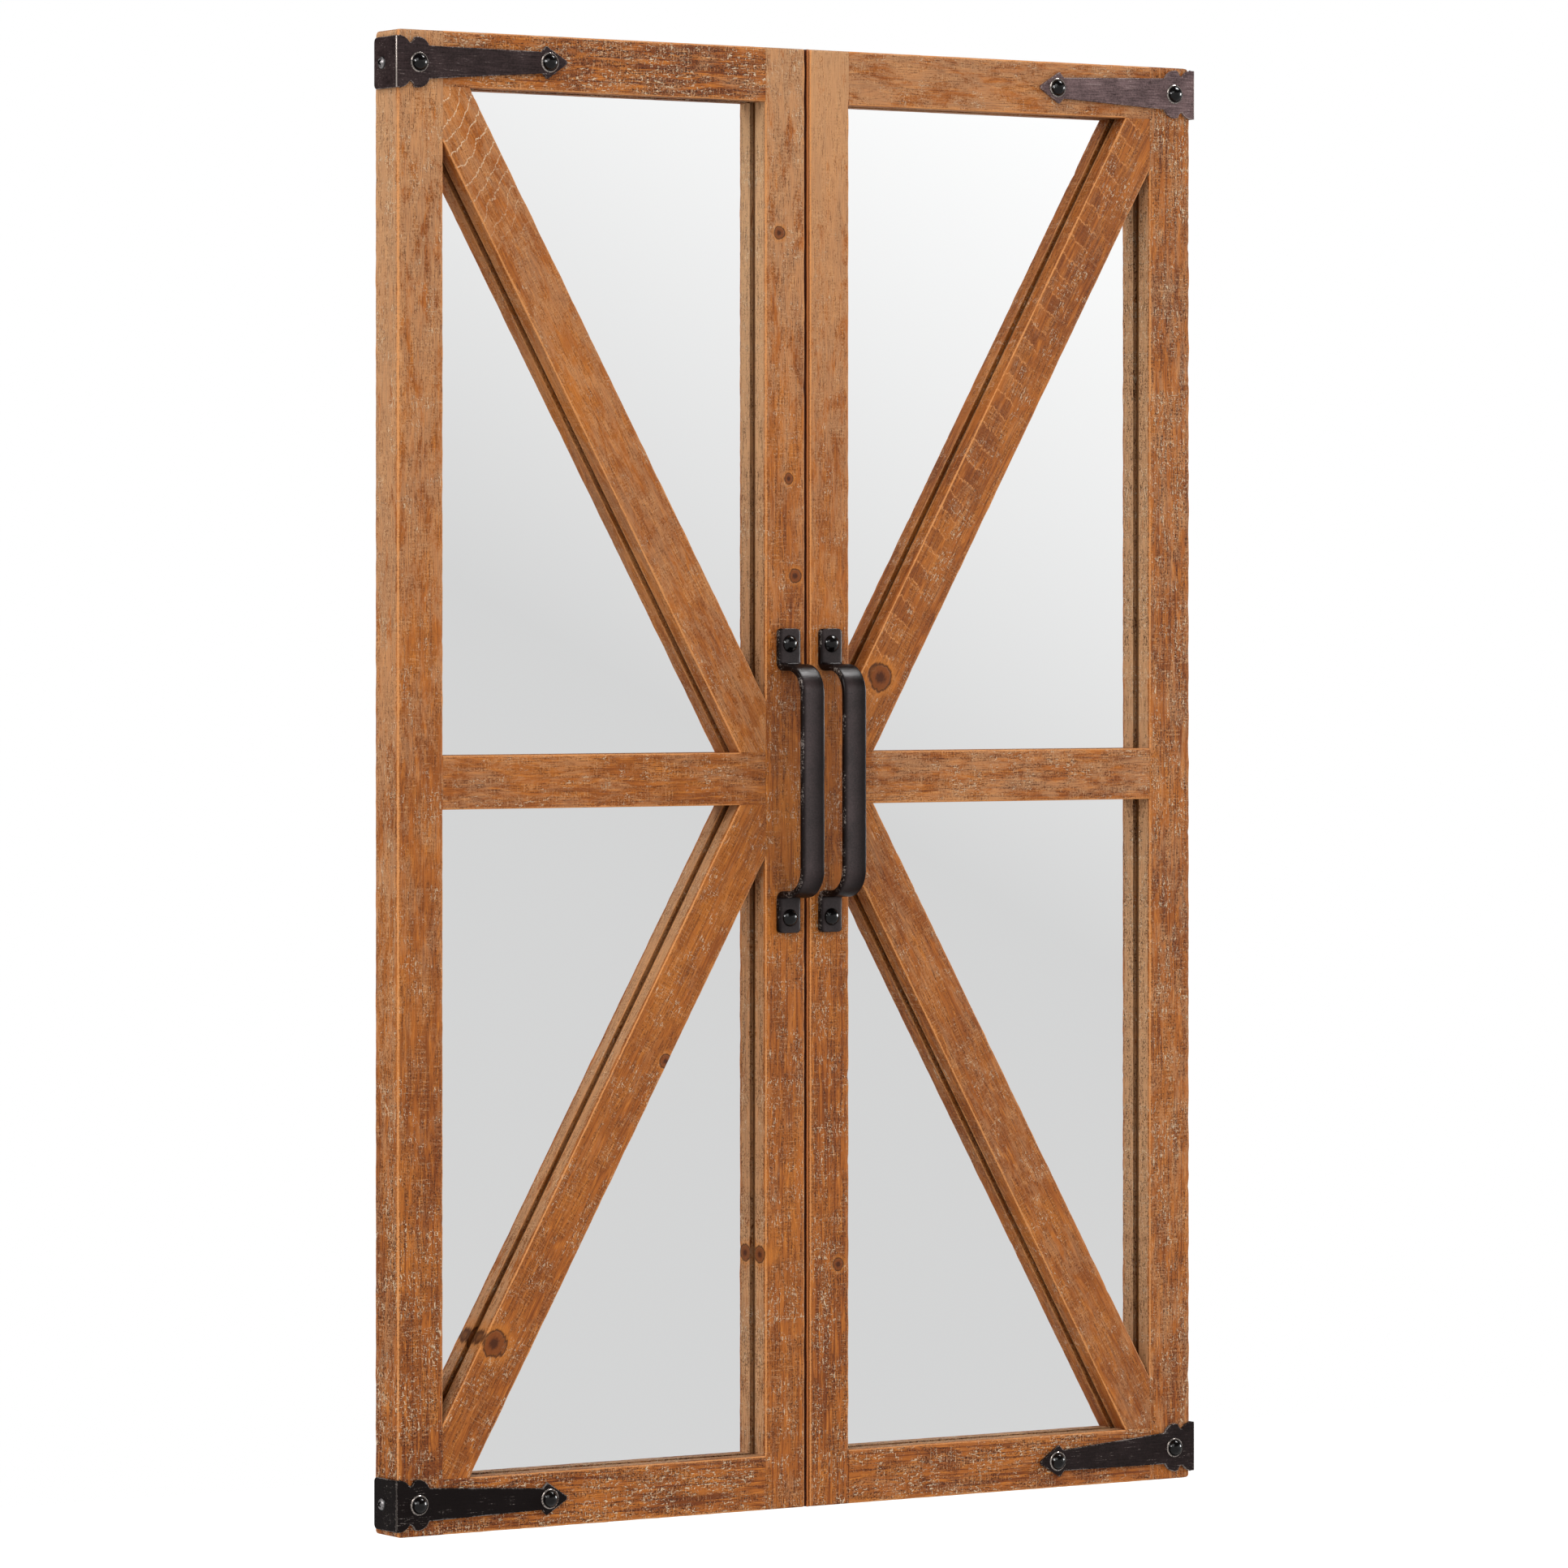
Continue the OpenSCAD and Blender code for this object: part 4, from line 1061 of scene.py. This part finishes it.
class SHUTTER_OT_seam(bpy.types.Operator):
    """Make the strip with a thin rib that closes the groove between the doors"""

    bl_idname = "shutter.seam"
    bl_label = "Groove"

    def execute(self, context):
        look = context.scene.mirror_wood
        low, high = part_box("seam_bead")
        gap = high.x - low.x
        floor_y = FRONT_Y + look.groove_d
        rib_1 = gap - look.rib_gap
        rib_0 = rib_1 - look.rib_w
        slant = 0.25 * MM
        outline = [
            (0, floor_y), (rib_0, floor_y), (rib_0, low.y + slant), (rib_0 + slant, low.y),
            (rib_1 - slant, low.y), (rib_1, low.y + slant), (rib_1, floor_y), (gap, floor_y),
            (gap, high.y), (0, high.y),
        ]
        bm = bmesh.new()
        verts = [bm.verts.new((low.x + x, y, low.z)) for x, y in outline]
        edges = [bm.edges.new((a, b)) for a, b in zip(verts, verts[1:] + verts[:1])]
        steps = round((high.z - low.z) / look.row_step)
        sweep(bm, verts + edges, by=(0, 0, (high.z - low.z) / steps), steps=steps)
        close_ends(bm)
        for vert in bm.verts:
            if vert.co.y < floor_y - slant:
                vert.co.y += 0.3 * MM * (1 + noise.noise(Vector((3, 1, vert.co.z * 45))))
                vert.co.x += 0.1 * MM * noise.noise(Vector((9, vert.co.y * 200, vert.co.z * 60)))
            elif vert.co.y < high.y - slant:
                vert.co.y += 0.35 * MM * noise.noise(Vector((vert.co.x * 300, 5, vert.co.z * 80)))
        mesh = cut_joints(to_mesh(bm, "seam"))
        # 1 on the top of the rib; deeper points take the painted shade
        paint_points(mesh, "finish", lambda point: (point.y < floor_y - 1.2 * MM, 0, 0))
        piece("groove_strip", mesh, "seam_bead", groove_painted_shade(look))
        return {"FINISHED"}


# For each hinge: how grey its paint is with dusting, partly painted sheen, most of all on the top right
# hinge, and how strong the painted highlight along its bend is
DUST_SHEEN_AND_BEND_HIGHLIGHT = {
    "top_left_strap_hinge": (0.13, 0.8),
    "top_right_strap_hinge": (0.6, 0.5),
    "bottom_left_strap_hinge": (0.0, 0.1),
    "bottom_right_strap_hinge": (0.05, 0.3),
}


def node_bmesh(node):
    """A node of the frame as a bmesh, with its points welded."""
    bm = bmesh.new()
    bm.from_mesh(frame["nodes"][node].data)
    weld(bm)
    return bm


def islands(node):
    """The loose solids of a CAD node, each as its lowest and highest corner."""
    bm = node_bmesh(node)
    left = set(bm.verts)
    found = []
    while left:
        stack = [left.pop()]
        group = []
        while stack:
            vert = stack.pop()
            group.append(vert.co.copy())
            for edge in vert.link_edges:
                other = edge.other_vert(vert)
                if other in left:
                    left.remove(other)
                    stack.append(other)
        found.append((Vector([min(p[i] for p in group) for i in range(3)]),
                      Vector([max(p[i] for p in group) for i in range(3)])))
    bm.free()
    return sorted(found, key=lambda pair: tuple(pair[0]))


def paint_wear_and_highlights(bm, wear_and_light):
    """Writes at each point what its function gives: rubbing and painted edge highlights, a grey dusting that
    is partly painted sheen, and a painted bend highlight (-1: no scratches).
    """
    layer = bm.verts.layers.float_vector.new("finish")
    for vert in bm.verts:
        vert[layer] = Vector(wear_and_light(vert))


class SHUTTER_OT_hinges(bpy.types.Operator):
    """Make the four strap hinges, with eased and rubbed edges and a painted highlight along each bend"""

    bl_idname = "shutter.hinges"
    bl_label = "Strap hinges"

    def execute(self, context):
        look = context.scene.mirror_iron
        for node in [name for name in frame["nodes"] if name.endswith("strap_hinge")]:
            bm = node_bmesh(node)
            bmesh.ops.dissolve_limit(bm, angle_limit=math.radians(1.0), verts=bm.verts[:], edges=bm.edges[:])
            sharp = [edge for edge in bm.edges if edge.is_manifold and edge.calc_face_angle() > SMOOTH_BELOW]
            ease(bm, sharp, look.plate_edge, 2)
            low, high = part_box(node)
            tip = Vector((low.x if "left" in node else high.x, low.y))
            flat = [face for face in bm.faces
                    if face.calc_area() > 1.5e-5 and max(abs(face.normal.x), abs(face.normal.y)) > 0.999]
            bmesh.ops.inset_region(bm, faces=flat, thickness=0.5 * MM, use_even_offset=True)
            bm.verts.index_update()
            inner = {vert.index for face in flat for vert in face.verts}
            dust_and_sheen_share, bend_highlight = DUST_SHEEN_AND_BEND_HIGHLIGHT[node]

            def wear_and_light(vert):
                # the bend takes a painted highlight instead of rubbing
                bent = (vert.co.xy - tip).length < 0.6 * MM
                return vert.index not in inner and not bent, dust_and_sheen_share, bend_highlight * bent

            paint_wear_and_highlights(bm, wear_and_light)
            name = "forged_" + node
            piece(name, to_mesh(bm, name), node, shared(black_iron, look))
        return {"FINISHED"}


def turned_head(bm, profile, base, out):
    """Spins a profile of (radius, height) pairs about an axis that leaves base along out."""
    side = Vector(out).orthogonal().normalized()
    verts = [bm.verts.new(base + side * radius + out * height) for radius, height in profile]
    edges = [bm.edges.new(pair) for pair in zip(verts, verts[1:])]
    rounds = bpy.context.scene.mirror_iron.rounds
    bmesh.ops.spin(bm, geom=verts + edges, cent=base, axis=out, dvec=(0, 0, 0), angle=2 * math.pi,
                   steps=rounds, use_merge=True, use_duplicate=False)


def dome_profile(radius, height, start, steps=8):
    """Points of a round dome from its rim at the given height up to its top."""
    ball = (radius ** 2 + height ** 2) / (2 * height)
    half = math.asin(min(1.0, radius / ball))
    if height > radius:
        half = math.pi - half
    turns = [half * (1 - i / steps) for i in range(steps + 1)]
    return [(ball * math.sin(turn), start + ball * math.cos(turn) - ball + height) for turn in turns]


class SHUTTER_OT_domes(bpy.types.Operator):
    """Make the dome nails of the hinges and the dome screws of the handles"""

    bl_idname = "shutter.domes"
    bl_label = "Dome heads"

    def execute(self, context):
        look = context.scene.mirror_iron
        plate_y = min(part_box(node)[0].y for node in frame["nodes"] if node.endswith("strap_hinge"))
        self.heads("hinge_dome_nails", "dome_nails", look, plate_y, 0.8 * MM, 0.835)
        self.heads("handle_dome_screws", "dome_screws", look, FRONT_Y - look.bar_t, 0.0, 1.0)
        return {"FINISHED"}

    def heads(self, node, name, look, plate_y, flange, dome_share):
        """Makes the heads of a node, each a dome of dome_share of its radius on a flange."""
        bm = bmesh.new()
        out = Vector((0, -1, 0))
        for low, high in islands(node):
            radius = (high.x - low.x) / 2
            base = Vector(((low.x + high.x) / 2, plate_y, (low.z + high.z) / 2))
            height = plate_y - low.y
            dome = dome_profile(radius * dome_share, height - flange, flange)
            rim = [(radius, -0.1 * MM)]
            if flange:
                rim += [(radius, flange * 0.45), (radius - 0.45 * MM, flange),
                        (radius * dome_share + 0.15 * MM, flange)]
            turned_head(bm, rim + dome, base, out)
        weld(bm)
        bmesh.ops.edgeloop_fill(bm, edges=rim_of(bm))
        # the rims of the flanges are marked for a painted highlight
        rim_low = plate_y - flange * 1.05
        paint_wear_and_highlights(bm, lambda vert: (flange and rim_low < vert.co.y < plate_y and any(
            edge.other_vert(vert).co.y > plate_y - flange * 0.6 for edge in vert.link_edges), 0.0, 0.0))
        for vert in bm.verts:
            if vert.co.y < plate_y - flange - 0.2 * MM:
                vert.co += Vector((1, 0.6, 1)) * 0.12 * MM * noise.noise(vert.co * 420)
        face_out(bm)
        piece(name, to_mesh(bm, name), node, shared(gloss_iron, look))


class SHUTTER_OT_handles(bpy.types.Operator):
    """Bend the two pull handles out of flat bar"""

    bl_idname = "shutter.handles"
    bl_label = "Pull handles"

    def execute(self, context):
        look = context.scene.mirror_iron
        for node in ("left_pull_handle", "right_pull_handle"):
            self.handle(node, look)
        return {"FINISHED"}

    def handle(self, node, look):
        low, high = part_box(node)
        width = high.x - low.x
        thick = look.bar_t
        middle = (low.z + high.z) / 2
        bm = bmesh.new()
        section_outline(bm, width, thick, [look.bar_edge] * 4,
                        ([width * i / 6 for i in range(1, 6)], [thick / 2]), 3)
        move(bm, (low.x, FRONT_Y - thick, high.z))
        last = bm.verts[:] + bm.edges[:]
        corner = look.plate_corner
        for row in (0.25, 0.4, 0.55, 0.6, 0.7):
            last = sweep(bm, last, by=(0, 0, -row * MM))
        arm_z = high.z - look.plate_h
        foot = Vector((0, FRONT_Y - thick - look.foot_r, arm_z + look.foot_r))
        plain = (high.z - corner) - foot.z
        last = sweep(bm, last, by=(0, 0, -plain / 6), steps=6)
        last = sweep(bm, last, turn=math.pi / 2, centre=foot, axis=(-1, 0, 0), steps=6)
        bend_y = low.y + look.bend_r
        reach = foot.y - bend_y
        last = sweep(bm, last, by=(0, -reach / 2, 0), steps=2)
        bend = Vector((0, bend_y, arm_z - look.bend_r))
        last = sweep(bm, last, turn=math.pi / 2, centre=bend, axis=(1, 0, 0), steps=12)
        last = sweep(bm, last, by=(0, 0, (middle - bend.z) / 12), steps=12)
        for vert in bm.verts:
            self.round_end(vert, low, high, corner)
        ends = [edge for edge in rim_of(bm) if edge.verts[0].co.z > high.z - MM]
        cap = bmesh.ops.edgeloop_fill(bm, edges=ends)["faces"]
        rim = list({edge for face in cap for edge in face.edges})
        ease(bm, rim, 0.2 * MM, 1)
        bmesh.ops.mirror(bm, geom=bm.verts[:] + bm.edges[:] + bm.faces[:], axis="Z", merge_dist=1e-5,
                         matrix=Matrix.Translation((0, 0, -middle)))
        weld(bm)
        face_out(bm)
        for vert in bm.verts:
            dent = noise.noise(vert.co * 90) + 0.6 * noise.noise(vert.co * 260)
            vert.co += vert.normal * dent * 0.12 * MM
        bm.normal_update()

        # painted light on the bar: a highlight along its left edge, and sheen on its fronts that fades in
        # from the left and out towards the right of the grip; -1 leaves out scratches
        def wear_and_light(vert):
            across = (vert.co.x - low.x) / width
            front = max(0.0, -vert.normal.y)
            grip = vert.co.y < low.y + thick * 1.5
            face = front ** 3 * min(1.0, across * 6) * (1 - grip * min(1.0, max(0.0, across - 0.3) * 1.6))
            return 0.85 * (across < 0.06), (0.15 if grip else 0.1) * face, -1.0

        paint_wear_and_highlights(bm, wear_and_light)
        name = "bent_" + node
        piece(name, to_mesh(bm, name), node, shared(black_iron, look))

    def round_end(self, vert, low, high, corner):
        """Rounds the corners of the end plate, seen from the front."""
        down = high.z - vert.co.z
        if down < corner and vert.co.y > low.y + corner * 4:
            middle = (low.x + high.x) / 2
            half = (high.x - low.x) / 2
            vert.co.x = middle + (vert.co.x - middle) * (half - rounding(corner, down)) / half


class SHUTTER_PT_mirror(bpy.types.Panel):
    """Lists the pieces of the mirror and their settings"""

    bl_idname = "SHUTTER_PT_mirror"
    bl_label = "Shutter Mirror"
    bl_space_type = "VIEW_3D"
    bl_region_type = "UI"
    bl_category = "Shutter Mirror"

    def draw(self, context):
        for operator in OPERATORS:
            self.layout.operator(operator.bl_idname)
        for group in (context.scene.mirror_wood, context.scene.mirror_iron, context.scene.mirror_stage):
            box = self.layout.box()
            for name in group.__annotations__:
                box.prop(group, name)


GROUPS = {"mirror_wood": WoodSettings, "mirror_iron": IronSettings, "mirror_stage": StageSettings}
OPERATORS = (
    SHUTTER_OT_stage,
    SHUTTER_OT_hidden,
    SHUTTER_OT_stiles,
    SHUTTER_OT_rails,
    SHUTTER_OT_braces,
    SHUTTER_OT_seam,
    SHUTTER_OT_hinges,
    SHUTTER_OT_domes,
    SHUTTER_OT_handles,
)


def register():
    for cls in (*GROUPS.values(), *OPERATORS, SHUTTER_PT_mirror):
        bpy.utils.register_class(cls)
    for name, group in GROUPS.items():
        setattr(bpy.types.Scene, name, PointerProperty(type=group))


def unregister():
    for name in GROUPS:
        delattr(bpy.types.Scene, name)
    for cls in reversed((*GROUPS.values(), *OPERATORS, SHUTTER_PT_mirror)):
        bpy.utils.unregister_class(cls)


def main():
    register()
    for operator in OPERATORS:
        group, name = operator.bl_idname.split(".")
        getattr(getattr(bpy.ops, group), name)()


if __name__ == "__main__":
    main()
